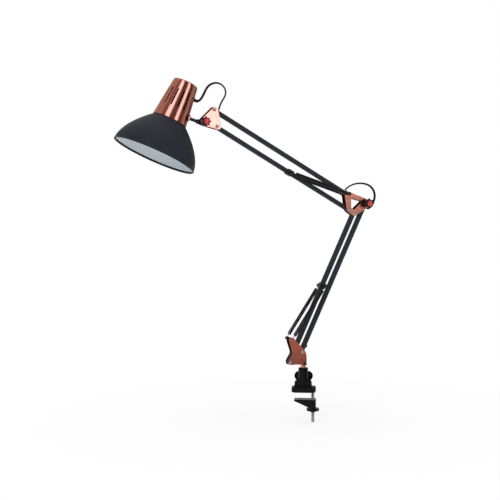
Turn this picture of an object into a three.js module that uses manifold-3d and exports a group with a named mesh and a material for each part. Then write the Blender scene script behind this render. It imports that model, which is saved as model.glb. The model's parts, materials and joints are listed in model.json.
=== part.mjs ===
// Architect desk lamp with a table clamp, two parallelogram arms on springs and a domed shade.
// Units are millimetres, +Z is up. The arms swing in the XZ plane. The origin lies on the
// swivel post's axis, in the face of the clamp's foot that rests on the table top.
import * as THREE from 'three';
import { mergeVertices } from 'three/addons/utils/BufferGeometryUtils.js';
import Module from 'manifold-3d';

const wasm = await Module();
wasm.setup();

// ---------------------------------------------------------------- driving dimensions
const GAP = 0.3; // clearance left wherever two pieces touch or one passes through another

// Arms
const ARM_LENGTH = 312; // pivot to pivot, the same on all four tubes
const TUBE_SIZE = 8;
const TUBE_WALL = 1;
const TUBE_EDGE = 0.8; // rounding of the tube's long edges
const LOWER_LEAN = 25.5; // degrees from upright, towards +X
const UPPER_LEAN = -60.2; // degrees from upright, towards -X

// Pivots, as steps in the XZ plane from one to the next
const REAR_FOOT = [-4.5, 78]; // lower rear pivot, from the origin
const BASE_LINK = [25.4, 19.5]; // lower front pivot to lower rear pivot
const ELBOW_STEP = [-11.4, 8]; // top of the front tube to the upper bottom tube's pivot
const HEAD_LINK = [-5.3, 30.5]; // upper bottom pivot to upper top pivot
const KNUCKLE_STEP = [-26, 8.5]; // upper bottom tube's end to the tilting knuckle
const LEVER_STEP = [1, 45]; // lower front pivot to the lower springs' hooks

// Brackets and pivot hardware
const PLATE_THICKNESS = 2;
const PLATE_CLEARANCE = 1.2; // between a tube and the plate beside it
const BOLT_RADIUS = 2;
const BOLT_HEAD_RADIUS = 3.4;
const BOLT_HEAD_HEIGHT = 2.2;
const POST_RADIUS = 4.8;

// Springs
const SPRING_OFFSET = 13.5; // from the arms' middle plane
const SPRING_RADIUS = 3.75;
const SPRING_WIRE = 0.7; // radius of the wire
const SPRING_PIN_RADIUS = 1.6;
const SPRING_PIN_REACH = 19.5; // half the length of a spring's cross pin
const PIN_BALL_RADIUS = 2.8;
const LOWER_CLIP_AT = 159; // along the lower front tube, from its lower pivot
const UPPER_CLIP_AT = 142; // along the upper bottom tube, from the elbow

// Knobs
const KNOB_RADIUS = 9.6;
const KNOB_LOBES = 8;
const KNOB_LOBE_DEPTH = 1.5;
const KNOB_THICKNESS = 8;
const KNOB_HUB_RADIUS = 6.8;
const KNOB_HUB_LENGTH = 6.5;
const KNOB_CAP_RADIUS = 5.8;
const KNOB_CAP_HEIGHT = 3.4;

// Shade and cap
const HEAD_LEAN = 25.2; // the shade's axis from upright
const RIM_RADIUS = 78;
const RIM_BEAD = 1.1;
const DOME_PEAK = 93.6; // above the rim, where the dome's curve would close without its cap
const DOME_POWER = 1.75; // the roundness of that curve: 1 is a cone, more is rounder
const SHELL_WALL = 1;
const CAP_BASE_RADIUS = 32.7;
const CAP_TOP_RADIUS = 23.2;
const CAP_HEIGHT = 75.3;
const CAP_EDGE = 2.2;
const SLOT_PITCHES = 14; // round the cap; the slot on the rod's side is left out
const SLOT_TURN = 4; // degrees, of the first pitch from the rod's side
const SLOT_LENGTH = 34;
const SLOT_WIDTH = 3;
const SLOT_ABOVE_BASE = 22.4;
const ROD_RADIUS = 3;
const ROD_ABOVE_BASE = 19.4; // where the rod meets the cap, above the cap's base
const ROD_DROP = 2.6; // the rod's axis below the knuckle's axis
const KNUCKLE_REACH = 28.7; // along the rod, from the cap's skin to the knuckle's axis
const KNUCKLE_RADIUS = 5;
const GLAND_ABOVE_BASE = 54;
const HOLDER_RADIUS = 19.5;
const HOLDER_LENGTH = 46;
const SOCKET_RADIUS = 14.2;
const SOCKET_DEPTH = 36;

// Cord
const CORD_RADIUS = 2;

// Clamp
const CLAMP_TURN = -28; // about the post's axis, from the arms' plane
const FOOT_LENGTH = 46;
const FOOT_DEPTH = 32;
const FOOT_HEIGHT = 10;
const FOOT_SHIFT = 1.5; // the foot's middle from the post's axis
const GUSSET_REACH = 17; // the webs either side of the column
const GUSSET_TOP = 26;
const GUSSET_DEPTH = 12;
const COLUMN_RADIUS = 9.3;
const COLUMN_TOP = 46.8;
const POST_TOP = 70;
const POST_FLOOR = 13;
const SCREW_RADIUS = 3;
const SCREW_AT = 18.6; // the clamp screw's axis from the post's axis
const SCREW_END = -57.9;
const JAW_GAP = 13.8;
const JAW_DEPTH = 22;
const JAW_HEIGHT = 14.9;
const JAW_NOSE = -17.4;
const JAW_HEEL = 24.6;
const PAD_THICKNESS = 1.6;
const WHEEL_RADIUS = 12.2;
const WHEEL_HEIGHT = 5.6;
const LOCK_HEIGHT = 28.5;
const WING_REACH = 17.8;
const WING_RADIUS = 9.3;

// ---------------------------------------------------------------- derived places
const radians = THREE.MathUtils.degToRad;
const PLATE_INNER = TUBE_SIZE / 2 + PLATE_CLEARANCE;
const PLATE_OUTER = PLATE_INNER + PLATE_THICKNESS;
const HOLE_RADIUS = BOLT_RADIUS + GAP;
const HOOK_HOLE = SPRING_PIN_RADIUS + GAP;

const point = ([x, z]) => new THREE.Vector2(x, z);
const step = (from, [dx, dz]) => new THREE.Vector2(from.x + dx, from.y + dz);
const along = (lean) => new THREE.Vector2(Math.sin(radians(lean)), Math.cos(radians(lean)));
const reach = (from, lean, length) => from.clone().addScaledVector(along(lean), length);
const leanOf = (from, to) => Math.atan2(to.x - from.x, to.y - from.y);

const baseRear = point(REAR_FOOT);
const baseFront = step(baseRear, [-BASE_LINK[0], -BASE_LINK[1]]);
const elbowRear = reach(baseRear, LOWER_LEAN, ARM_LENGTH);
const elbowFront = reach(baseFront, LOWER_LEAN, ARM_LENGTH);
const elbowLow = step(elbowFront, ELBOW_STEP);
const elbowHigh = step(elbowLow, HEAD_LINK);
const headLow = reach(elbowLow, UPPER_LEAN, ARM_LENGTH);
const headHigh = reach(elbowHigh, UPPER_LEAN, ARM_LENGTH);
const knuckleAt = step(headLow, KNUCKLE_STEP);
const leverTop = step(baseFront, LEVER_STEP);
const lowerClip = reach(baseFront, LOWER_LEAN, LOWER_CLIP_AT);
const upperClip = reach(elbowLow, UPPER_LEAN, UPPER_CLIP_AT);

const CAP_TAPER = Math.atan((CAP_BASE_RADIUS - CAP_TOP_RADIUS) / CAP_HEIGHT);
const domeHeight = (radius) => DOME_PEAK * (1 - radius / RIM_RADIUS) ** (1 / DOME_POWER);
const CAP_BASE = domeHeight(CAP_BASE_RADIUS - SHELL_WALL) + GAP;
const capRadius = (height) => CAP_BASE_RADIUS - (height - CAP_BASE) * Math.tan(CAP_TAPER);
const ROD_LEAN = radians(HEAD_LEAN) - CAP_TAPER; // the rod stands square on the cap's side

// ---------------------------------------------------------------- finishes
function finish(color, roughness, metalness) {
  return new THREE.MeshStandardMaterial({ color, roughness, metalness });
}
const copper = finish('#c4826a', 0.25, 1);
const slate = finish('#2b2f36', 0.55, 0.3);
const blackPlastic = finish('#101114', 0.45, 0);
const blackSteel = finish('#17181b', 0.4, 0.8);
const zinc = finish('#b9bcc0', 0.3, 1);
const red = finish('#c2212b', 0.3, 0);
const padGrey = finish('#b4b7ba', 0.7, 0);
const brass = finish('#c9a961', 0.35, 1);
const cordBlack = finish('#0d0d0f', 0.6, 0);

// ---------------------------------------------------------------- solids
// Turns a closed three.js geometry into a solid, whichever way its faces wind.
function solid(geometry) {
  const bare = geometry.clone();
  bare.deleteAttribute('normal');
  bare.deleteAttribute('uv');
  const merged = mergeVertices(bare, 1e-4);
  const spots = merged.attributes.position;
  const index = merged.index.array;
  const faces = [];
  let volume = 0;
  const [a, b, c] = [new THREE.Vector3(), new THREE.Vector3(), new THREE.Vector3()];
  for (let i = 0; i < index.length; i += 3) {
    const [p, q, r] = [index[i], index[i + 1], index[i + 2]];
    if (p === q || q === r || r === p) continue;
    faces.push(p, q, r);
    a.fromBufferAttribute(spots, p);
    b.fromBufferAttribute(spots, q);
    c.fromBufferAttribute(spots, r);
    volume += a.dot(b.cross(c));
  }
  if (volume < 0) faces.reverse();
  return new wasm.Manifold(
    new wasm.Mesh({
      numProp: 3,
      vertProperties: new Float32Array(spots.array),
      triVerts: new Uint32Array(faces),
    }),
  );
}

function geometryOf(body) {
  const mesh = body.getMesh();
  const geometry = new THREE.BufferGeometry();
  geometry.setAttribute('position', new THREE.BufferAttribute(mesh.vertProperties, 3));
  geometry.setIndex(new THREE.BufferAttribute(mesh.triVerts, 1));
  geometry.computeVertexNormals();
  return geometry;
}

const joined = (first, ...others) => others.reduce((sum, other) => sum.add(other), first);
const cut = (first, ...others) => others.reduce((rest, other) => rest.subtract(other), first);

// Turned about the Y axis, from [radius, y] points that start and end on the axis or close.
function turned(profile, sides = 12) {
  const points = profile.map(([radius, y]) => new THREE.Vector2(radius, y));
  return new THREE.LatheGeometry(points, sides);
}
const acrossArm = (profile, sides) => solid(turned(profile, sides));
const upright = (profile, sides) => solid(turned(profile, sides).rotateX(Math.PI / 2));

// A cylinder along X, Y or Z between two values on that axis.
function bar(axis, radius, from, to, [p, q] = [0, 0], sides = 12) {
  const geometry = new THREE.CylinderGeometry(radius, radius, to - from, sides);
  geometry.translate(0, (from + to) / 2, 0);
  if (axis === 'x') geometry.rotateZ(-Math.PI / 2).translate(0, p, q);
  if (axis === 'y') geometry.translate(p, 0, q);
  if (axis === 'z') geometry.rotateX(Math.PI / 2).translate(p, q, 0);
  return solid(geometry);
}

function block([x0, x1], [y0, y1], [z0, z1]) {
  const geometry = new THREE.BoxGeometry(x1 - x0, y1 - y0, z1 - z0);
  geometry.translate((x0 + x1) / 2, (y0 + y1) / 2, (z0 + z1) / 2);
  return solid(geometry);
}

function ball(radius, [x, y, z], sides = 8) {
  return solid(new THREE.SphereGeometry(radius, sides, sides / 2).translate(x, y, z));
}

// ---------------------------------------------------------------- outlines
// The outline round a ring of [centre, radius] discs given anticlockwise, tangent to each.
function beltOutline(discs) {
  const normals = discs.map(([centre, radius], i) => {
    const [next, nextRadius] = discs[(i + 1) % discs.length];
    const run = next.clone().sub(centre);
    const lean = Math.acos((radius - nextRadius) / run.length());
    return run.angle() - lean;
  });
  const shape = new THREE.Shape();
  discs.forEach(([centre, radius], i) => {
    const before = normals[(i + discs.length - 1) % discs.length];
    shape.absarc(centre.x, centre.y, radius, before, normals[i], false);
  });
  return shape;
}

// A polygon of [x, y, round] corners, each eased off over the length round on both sides.
function easedOutline(corners, Outline = THREE.Shape) {
  const outline = new Outline();
  corners.forEach(([x, y, round], i) => {
    const corner = new THREE.Vector2(x, y);
    const [bx, by] = corners[(i + corners.length - 1) % corners.length];
    const [nx, ny] = corners[(i + 1) % corners.length];
    const before = new THREE.Vector2(bx, by).sub(corner).setLength(round).add(corner);
    const after = new THREE.Vector2(nx, ny).sub(corner).setLength(round).add(corner);
    if (i === 0) outline.moveTo(before.x, before.y);
    else outline.lineTo(before.x, before.y);
    outline.quadraticCurveTo(x, y, after.x, after.y);
  });
  outline.closePath();
  return outline;
}

// A round hole whose flats, not its corners, lie at the radius.
function hole(centre, radius, sides = 10) {
  const corners = ringShape(radius / Math.cos(Math.PI / sides), sides).getPoints();
  return new THREE.Path(corners.map((corner) => corner.add(centre)));
}

// An XZ outline given depth along Y, from its greatest y downwards.
function across(shape, yTop, depth, curveSegments = 3) {
  const options = { depth, bevelEnabled: false, curveSegments };
  const geometry = new THREE.ExtrudeGeometry(shape, options);
  return solid(geometry.rotateX(Math.PI / 2).translate(0, yTop, 0));
}

function slab(shape, from, to, curveSegments = 4) {
  const options = { depth: to - from, bevelEnabled: false, curveSegments };
  return solid(new THREE.ExtrudeGeometry(shape, options).translate(0, 0, from));
}

function ringShape(radius, sides) {
  const corners = [];
  for (let i = 0; i < sides; i += 1) {
    const turn = (2 * Math.PI * i) / sides;
    corners.push(new THREE.Vector2(radius * Math.cos(turn), radius * Math.sin(turn)));
  }
  return new THREE.Shape(corners);
}

function lobedShape(radius, lobes, depth, perLobe = 4) {
  const corners = [];
  const total = lobes * perLobe;
  for (let i = 0; i < total; i += 1) {
    const turn = (2 * Math.PI * i) / total;
    const r = radius - (depth * (1 - Math.cos(lobes * turn))) / 2;
    corners.push(new THREE.Vector2(r * Math.cos(turn), r * Math.sin(turn)));
  }
  return new THREE.Shape(corners);
}

// ---------------------------------------------------------------- the assembly
const lamp = new THREE.Group();
lamp.name = 'desk_lamp';

function add(parent, name, material, body) {
  const mesh = new THREE.Mesh(geometryOf(body), material);
  mesh.name = name;
  parent.add(mesh);
  return mesh;
}

function groupAt(parent, [x, y, z], leanAboutY = 0) {
  const group = new THREE.Group();
  group.position.set(x, y, z);
  group.rotation.y = leanAboutY;
  parent.add(group);
  return group;
}

const NEAR = -1;
const FAR = 1;
const SIDES = [['near', NEAR], ['far', FAR]];

// ---------------------------------------------------------------- clamp
const clamp = groupAt(lamp, [0, 0, 0]);
clamp.rotation.z = radians(CLAMP_TURN);

const JAW_TOP = -JAW_GAP - PAD_THICKNESS - GAP;
const JAW_BOTTOM = JAW_TOP - JAW_HEIGHT;
const WHEEL_TOP = JAW_BOTTOM - GAP;
const WALL_END = COLUMN_RADIUS + 2.2; // the lock screw's boss ends here
const WING_THICKNESS = 4.5;

function footOutline(inset) {
  const x0 = FOOT_SHIFT - FOOT_LENGTH / 2 + inset;
  const x1 = FOOT_SHIFT + FOOT_LENGTH / 2 - inset;
  const y = FOOT_DEPTH / 2 - inset;
  const round = 11;
  return easedOutline([[x0, -y, round], [x1, -y, round], [x1, y, round], [x0, y, round]]);
}

function clampCasting() {
  const edge = 1.5;
  const root = FOOT_HEIGHT - 1;
  const gusset = easedOutline([
    [-GUSSET_REACH, root, 0.5],
    [-GUSSET_REACH + 0.8, GUSSET_TOP - 5.5, 2],
    [-COLUMN_RADIUS + 1, GUSSET_TOP, 2],
    [COLUMN_RADIUS - 1, GUSSET_TOP, 2],
    [GUSSET_REACH - 0.8, GUSSET_TOP - 5.5, 2],
    [GUSSET_REACH, root, 0.5],
  ]);
  const body = joined(
    slab(footOutline(edge), 0, edge),
    slab(footOutline(0), edge, FOOT_HEIGHT - edge),
    slab(footOutline(edge), FOOT_HEIGHT - edge, FOOT_HEIGHT),
    across(gusset, GUSSET_DEPTH / 2, GUSSET_DEPTH, 2),
    bar('z', COLUMN_RADIUS, root, COLUMN_TOP),
    block([-1.6, 1.6], [-COLUMN_RADIUS - 1.6, -2], [root, COLUMN_TOP - 4]),
    bar('z', 6.2, root, FOOT_HEIGHT + 1.5, [SCREW_AT - 1, 0]),
    bar('z', 4.5, root, FOOT_HEIGHT + 1, [-SCREW_AT + 1, 0]),
    bar('y', 5.8, 2, WALL_END, [0, LOCK_HEIGHT]),
  );
  return cut(
    body,
    bar('z', POST_RADIUS + GAP, POST_FLOOR, COLUMN_TOP + 1),
    bar('y', SCREW_RADIUS + GAP, 1, WALL_END + 1, [0, LOCK_HEIGHT]),
    bar('z', SCREW_RADIUS + GAP, -1, FOOT_HEIGHT, [SCREW_AT, 0]),
  );
}
add(clamp, 'clamp_casting', blackPlastic, clampCasting());

const clampScrew = bar('z', SCREW_RADIUS, SCREW_END, FOOT_HEIGHT - GAP, [SCREW_AT, 0]);
add(clamp, 'clamp_screw', zinc, clampScrew);

function lowerJaw() {
  const half = JAW_DEPTH / 2;
  const wedge = easedOutline([
    [JAW_NOSE, JAW_TOP, 0.6],
    [JAW_NOSE + 2.4, JAW_TOP - 1.4, 0.8],
    [JAW_HEEL - 10.6, JAW_BOTTOM, 1.5],
    [JAW_HEEL, JAW_BOTTOM, 1],
    [JAW_HEEL, JAW_TOP, 0.6],
  ]);
  const body = across(wedge, half, JAW_DEPTH, 2);
  const bore = bar('z', SCREW_RADIUS + GAP, JAW_BOTTOM - 1, JAW_TOP + 1, [SCREW_AT, 0]);
  return cut(body, bore);
}
add(clamp, 'lower_jaw', blackPlastic, lowerJaw());

function jawPad() {
  const [x0, x1, y] = [JAW_NOSE + 0.5, JAW_HEEL - 0.5, JAW_DEPTH / 2 - 0.5];
  const shape = easedOutline([[x0, -y, 1.5], [x1, -y, 1.5], [x1, y, 1.5], [x0, y, 1.5]]);
  shape.holes.push(hole(new THREE.Vector2(SCREW_AT, 0), SCREW_RADIUS + 2 * GAP));
  return slab(shape, JAW_TOP + GAP, -JAW_GAP);
}
add(clamp, 'jaw_pad', padGrey, jawPad());

function clampWheel() {
  const wheel = slab(lobedShape(WHEEL_RADIUS, 10, 1), WHEEL_TOP - WHEEL_HEIGHT, WHEEL_TOP);
  const hubTop = WHEEL_TOP - WHEEL_HEIGHT + 1;
  const hub = upright([[0, hubTop - 3.4], [4.6, hubTop - 3.4], [7, hubTop], [0, hubTop]]);
  const bore = bar('z', SCREW_RADIUS + GAP, hubTop - 5, WHEEL_TOP + 1);
  return cut(joined(wheel, hub), bore);
}
add(clamp, 'clamp_wheel', blackPlastic, clampWheel()).position.x = SCREW_AT;

function lockScrew() {
  const tip = POST_RADIUS + GAP;
  const face = WALL_END + GAP;
  const lobeAt = WING_REACH - WING_RADIUS;
  const back = face + WING_THICKNESS + 0.6;
  const wings = joined(
    bar('y', 5.4, face, back + 1.5),
    bar('y', WING_RADIUS, face + 0.6, back, [lobeAt, 0], 16),
    bar('y', WING_RADIUS, face + 0.6, back, [-lobeAt, 0], 16),
  );
  const dish = WING_RADIUS - 2;
  const dished = cut(
    wings,
    cut(bar('y', dish, back - 1, back + 1, [lobeAt, 0]), bar('y', 6.4, 0, 40)),
    cut(bar('y', dish, back - 1, back + 1, [-lobeAt, 0]), bar('y', 6.4, 0, 40)),
  );
  return joined(dished, bar('y', SCREW_RADIUS, tip, back));
}
add(clamp, 'lock_screw', blackPlastic, lockScrew()).position.z = LOCK_HEIGHT;

// ---------------------------------------------------------------- base bracket
const TAB_BOTTOM = COLUMN_TOP + 4.2;
const RIVET_AT = new THREE.Vector2(0, TAB_BOTTOM + 4.4);

function baseOutline() {
  const [f, r, h] = [baseFront, baseRear, leverTop];
  return easedOutline([
    [h.x - 3.2, h.y - 5, 2.5],
    [f.x + 5.2, f.y + 18, 4],
    [f.x - 4.2, f.y + 3, 3.5],
    [f.x - 2.4, f.y - 4.8, 3],
    [-6.6, r.y - 24, 1.5],
    [-5.6, TAB_BOTTOM, 0.8],
    [4.4, TAB_BOTTOM, 0.8],
    [r.x + 8.4, r.y - 6, 3],
    [r.x + 5, r.y + 2.5, 3],
    [r.x - 4.5, r.y + 12, 6],
    [h.x + 5, h.y + 2, 3],
    [h.x - 3.4, h.y + 4, 2.5],
  ]);
}

function plate(outline, side, curveSegments) {
  const yTop = side === NEAR ? -PLATE_INNER : PLATE_OUTER;
  return across(outline, yTop, PLATE_THICKNESS, curveSegments);
}

for (const [side, sign] of SIDES) {
  const outline = baseOutline();
  outline.holes.push(
    hole(baseFront, HOLE_RADIUS),
    hole(baseRear, HOLE_RADIUS),
    hole(leverTop, HOOK_HOLE),
    hole(RIVET_AT, HOLE_RADIUS),
  );
  add(lamp, `base_plate_${side}`, copper, plate(outline, sign));
}

function swivelPost() {
  const bevel = 1;
  const body = upright([
    [0, POST_FLOOR + GAP],
    [POST_RADIUS - bevel, POST_FLOOR + GAP],
    [POST_RADIUS, POST_FLOOR + GAP + bevel],
    [POST_RADIUS, POST_TOP - bevel],
    [POST_RADIUS - bevel, POST_TOP],
    [0, POST_TOP],
  ]);
  const half = PLATE_INNER - GAP;
  const [side, foot] = [[-POST_RADIUS, POST_RADIUS], TAB_BOTTOM - GAP];
  return cut(
    body,
    block(side, [-POST_RADIUS - half, -half], [foot, POST_TOP]),
    block(side, [half, POST_RADIUS + half], [foot, POST_TOP]),
    bar('y', HOLE_RADIUS, -POST_RADIUS, POST_RADIUS, [RIVET_AT.x, RIVET_AT.y]),
  );
}
add(lamp, 'swivel_post', copper, swivelPost());

// A pivot bolt right through a bracket, with its head near and its domed nut far.
function pivotBolt(headRadius = BOLT_HEAD_RADIUS) {
  const face = PLATE_OUTER + GAP;
  const outer = face + BOLT_HEAD_HEIGHT;
  return acrossArm([
    [0, -outer],
    [headRadius, -outer],
    [headRadius, -face],
    [BOLT_RADIUS, -face],
    [BOLT_RADIUS, face],
    [headRadius, face],
    [headRadius, outer],
    [0, outer],
  ]);
}

function addBolt(name, at, material = zinc, headRadius = BOLT_HEAD_RADIUS) {
  add(lamp, name, material, pivotBolt(headRadius)).position.set(at.x, 0, at.y);
}
addBolt('post_rivet', RIVET_AT, blackSteel, 2.9);
addBolt('base_front_bolt', baseFront);
addBolt('base_rear_bolt', baseRear);

// The pin that a lower spring hooks on, riveted into its plate.
function springHook(sign) {
  const inner = PLATE_INNER;
  const outer = PLATE_OUTER + GAP;
  const end = SPRING_OFFSET + 3.6;
  const profile = [
    [0, inner],
    [SPRING_PIN_RADIUS, inner],
    [SPRING_PIN_RADIUS, outer],
    [2.8, outer],
    [2.8, outer + 1.2],
    [SPRING_PIN_RADIUS, outer + 1.2],
    [SPRING_PIN_RADIUS, end - 1.2],
    [2.7, end - 1.2],
    [2.7, end],
    [0, end],
  ];
  return acrossArm(profile.map(([radius, y]) => [radius, sign * y]), 12);
}
for (const [side, sign] of SIDES) {
  const hook = add(lamp, `spring_hook_${side}`, side === 'near' ? copper : blackSteel, springHook(sign));
  hook.position.set(leverTop.x, 0, leverTop.y);
}

// ---------------------------------------------------------------- arm tubes
// A square tube along +Z from the pivot at its origin, with cheeks rounded about both pivots.
function armTube(extraHoles = []) {
  const half = TUBE_SIZE / 2;
  const rim = half - TUBE_EDGE;
  const ends = [new THREE.Vector2(0, 0), new THREE.Vector2(0, ARM_LENGTH)];
  const outline = beltOutline(ends.map((centre) => [centre, rim]));
  const options = {
    depth: TUBE_SIZE - 2 * TUBE_EDGE,
    bevelEnabled: true,
    bevelThickness: TUBE_EDGE,
    bevelSize: TUBE_EDGE,
    bevelSegments: 1,
    curveSegments: 3,
  };
  const skin = new THREE.ExtrudeGeometry(outline, options).rotateX(Math.PI / 2);
  const bore = half - TUBE_WALL;
  return cut(
    solid(skin.translate(0, half - TUBE_EDGE, 0)),
    block([-bore, bore], [-bore, bore], [-TUBE_SIZE, ARM_LENGTH + TUBE_SIZE]),
    ...ends.map((end) => bar('y', HOLE_RADIUS, -TUBE_SIZE, TUBE_SIZE, [0, end.y])),
    ...extraHoles,
  );
}

// A cord passes the tube's +X wall in a grommet at the height z.
const GROMMET_STEM = 2.4;
const GROMMET_LIP = 1.8;
const cordHole = (z) => bar('x', GROMMET_STEM + GAP, 0, TUBE_SIZE, [0, z]);
function grommet(length) {
  const half = TUBE_SIZE / 2;
  const lip = new THREE.Vector2(0, length / 2 - 2.9);
  const outline = beltOutline([[lip, 2.9], [lip.clone().negate(), 2.9]]);
  const options = { depth: GROMMET_LIP, bevelEnabled: false, curveSegments: 6 };
  const flange = new THREE.ExtrudeGeometry(outline, options);
  flange.rotateX(Math.PI / 2).rotateZ(Math.PI / 2).translate(half + GAP, 0, 0);
  return joined(solid(flange), bar('x', GROMMET_STEM, half - TUBE_WALL, half + GAP + 0.5));
}

function springPinHole(z) {
  return bar('y', SPRING_PIN_RADIUS + GAP, -TUBE_SIZE, TUBE_SIZE, [0, z]);
}

// The collar on a tube that a spring's cross pin goes through.
function springClip(z) {
  const inner = TUBE_SIZE / 2 + GAP;
  const outer = inner + 1.5;
  const height = 5;
  return cut(
    block([-outer, outer], [-outer, outer], [z - height, z + height]),
    block([-inner, inner], [-inner, inner], [z - height - 1, z + height + 1]),
    bar('y', SPRING_PIN_RADIUS + GAP, -2 * outer, 2 * outer, [0, z]),
  );
}

function crossPin(radius) {
  const ballAt = SPRING_PIN_REACH - PIN_BALL_RADIUS * 0.6;
  return joined(
    bar('y', radius, -ballAt, ballAt, [0, 0], 12),
    ball(PIN_BALL_RADIUS, [0, ballAt, 0]),
    ball(PIN_BALL_RADIUS, [0, -ballAt, 0]),
  );
}

const RUN_SAG = 0.7; // a cord lies on one wall inside a tube
const INLET_AT = 13; // supply inlet above the lower rear pivot
const LOWER_EXIT_AT = ARM_LENGTH - 6.5;
const UPPER_ENTRY_AT = 3;
const UPPER_EXIT_AT = ARM_LENGTH - 9;

function cordRun(from, to) {
  return bar('z', CORD_RADIUS, from, to, [-RUN_SAG, 0], 8);
}

const lowerRear = groupAt(lamp, [baseRear.x, 0, baseRear.y], radians(LOWER_LEAN));
const lowerHoles = [cordHole(INLET_AT), cordHole(LOWER_EXIT_AT)];
add(lowerRear, 'lower_rear_tube', slate, armTube(lowerHoles));
add(lowerRear, 'supply_inlet', blackPlastic, grommet(7)).position.z = INLET_AT;
add(lowerRear, 'lower_cord_grommet', blackPlastic, grommet(6)).position.z = LOWER_EXIT_AT;
add(lowerRear, 'cord_run_lower', cordBlack, cordRun(INLET_AT - 1, LOWER_EXIT_AT - 1));

const lowerFront = groupAt(lamp, [baseFront.x, 0, baseFront.y], radians(LOWER_LEAN));
add(lowerFront, 'lower_front_tube', slate, armTube([springPinHole(LOWER_CLIP_AT)]));
add(lowerFront, 'lower_spring_clip', blackSteel, springClip(LOWER_CLIP_AT));
const lowerPin = add(lowerFront, 'lower_spring_pin', blackSteel, crossPin(SPRING_PIN_RADIUS));
lowerPin.position.z = LOWER_CLIP_AT;

const upperTop = groupAt(lamp, [elbowHigh.x, 0, elbowHigh.y], radians(UPPER_LEAN));
const upperHoles = [cordHole(UPPER_ENTRY_AT), cordHole(UPPER_EXIT_AT)];
add(upperTop, 'upper_top_tube', slate, armTube(upperHoles));
add(upperTop, 'upper_entry_grommet', blackPlastic, grommet(7)).position.z = UPPER_ENTRY_AT;
add(upperTop, 'upper_exit_grommet', blackPlastic, grommet(8)).position.z = UPPER_EXIT_AT;
add(upperTop, 'cord_run_upper', cordBlack, cordRun(UPPER_ENTRY_AT, UPPER_EXIT_AT + 1));

const upperBottom = groupAt(lamp, [elbowLow.x, 0, elbowLow.y], radians(UPPER_LEAN));
add(upperBottom, 'upper_bottom_tube', slate, armTube([springPinHole(UPPER_CLIP_AT)]));
add(upperBottom, 'upper_spring_clip', blackSteel, springClip(UPPER_CLIP_AT));
const upperPin = add(upperBottom, 'upper_spring_pin', blackSteel, crossPin(SPRING_PIN_RADIUS));
upperPin.position.z = UPPER_CLIP_AT;

// ---------------------------------------------------------------- elbow bracket
function elbowOutline() {
  const discs = [[elbowHigh, 6], [elbowLow, 5.2], [elbowFront, 5], [elbowRear, 8]];
  const outline = beltOutline(discs);
  const [a, b, c] = [elbowHigh, elbowRear, elbowFront];
  const cutOut = easedOutline(
    [
      [a.x + 9.2, a.y - 9.4, 1.4],
      [elbowLow.x + 4.2, elbowLow.y + 3.4, 1.4],
      [c.x - 0.6, c.y + 8.2, 1.4],
      [b.x - 11.4, b.y + 2.4, 1.4],
    ],
    THREE.Path,
  );
  outline.holes.push(cutOut);
  return outline;
}
for (const [side, sign] of SIDES) {
  const outline = elbowOutline();
  for (const pivot of [elbowHigh, elbowLow, elbowFront, elbowRear]) {
    outline.holes.push(hole(pivot, HOLE_RADIUS));
  }
  add(lamp, `elbow_plate_${side}`, copper, plate(outline, sign));
}
addBolt('elbow_front_bolt', elbowFront);
addBolt('elbow_low_bolt', elbowLow);
add(lamp, 'elbow_spring_pin', blackSteel, crossPin(BOLT_RADIUS)).position.set(
  elbowHigh.x,
  0,
  elbowHigh.y,
);

// A clamping stud: a bolt whose near end runs on into its knob.
const KNOB_BACK = PLATE_OUTER + GAP;
const KNOB_FRONT = KNOB_BACK + KNOB_HUB_LENGTH + KNOB_THICKNESS;
const STUD_END = KNOB_FRONT - 2.5;
function knobStud() {
  const face = PLATE_OUTER + GAP;
  const outer = face + BOLT_HEAD_HEIGHT;
  return acrossArm([
    [0, -STUD_END],
    [BOLT_RADIUS, -STUD_END],
    [BOLT_RADIUS, face],
    [4.2, face],
    [4.2, outer - 0.9],
    [3.3, outer],
    [0, outer],
  ]);
}

function starKnob() {
  const starBack = KNOB_BACK + KNOB_HUB_LENGTH;
  const star = lobedShape(KNOB_RADIUS, KNOB_LOBES, KNOB_LOBE_DEPTH);
  return cut(
    joined(
      across(star, -starBack, KNOB_THICKNESS),
      bar('y', KNOB_HUB_RADIUS, -starBack - 1, -KNOB_BACK, [0, 0], 16),
    ),
    bar('y', HOLE_RADIUS, -STUD_END - GAP, 0),
  );
}

function knobCap() {
  const back = KNOB_FRONT + GAP;
  const profile = [[0, -back], [KNOB_CAP_RADIUS, -back]];
  for (let i = 0; i < 4; i += 1) {
    const turn = (i * Math.PI) / 8;
    const height = 0.8 + (KNOB_CAP_HEIGHT - 0.8) * Math.sin(turn);
    profile.push([KNOB_CAP_RADIUS * Math.cos(turn), -back - height]);
  }
  profile.push([0, -back - KNOB_CAP_HEIGHT]);
  return acrossArm(profile, 16);
}

function addKnob(prefix, at) {
  const group = groupAt(lamp, [at.x, 0, at.y]);
  add(group, `${prefix}_stud`, zinc, knobStud());
  add(group, `${prefix}_knob`, blackPlastic, starKnob());
  add(group, `${prefix}_knob_cap`, red, knobCap());
}
addKnob('elbow', elbowRear);

// ---------------------------------------------------------------- head bracket
for (const [side, sign] of SIDES) {
  const outline = beltOutline([[knuckleAt, 6.4], [headLow, 5.8], [headHigh, 5.8]]);
  for (const pivot of [headHigh, headLow, knuckleAt]) outline.holes.push(hole(pivot, HOLE_RADIUS));
  add(lamp, `head_plate_${side}`, copper, plate(outline, sign));
}
addBolt('head_low_bolt', headLow);
addBolt('head_high_bolt', headHigh);
addKnob('head', knuckleAt);

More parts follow.
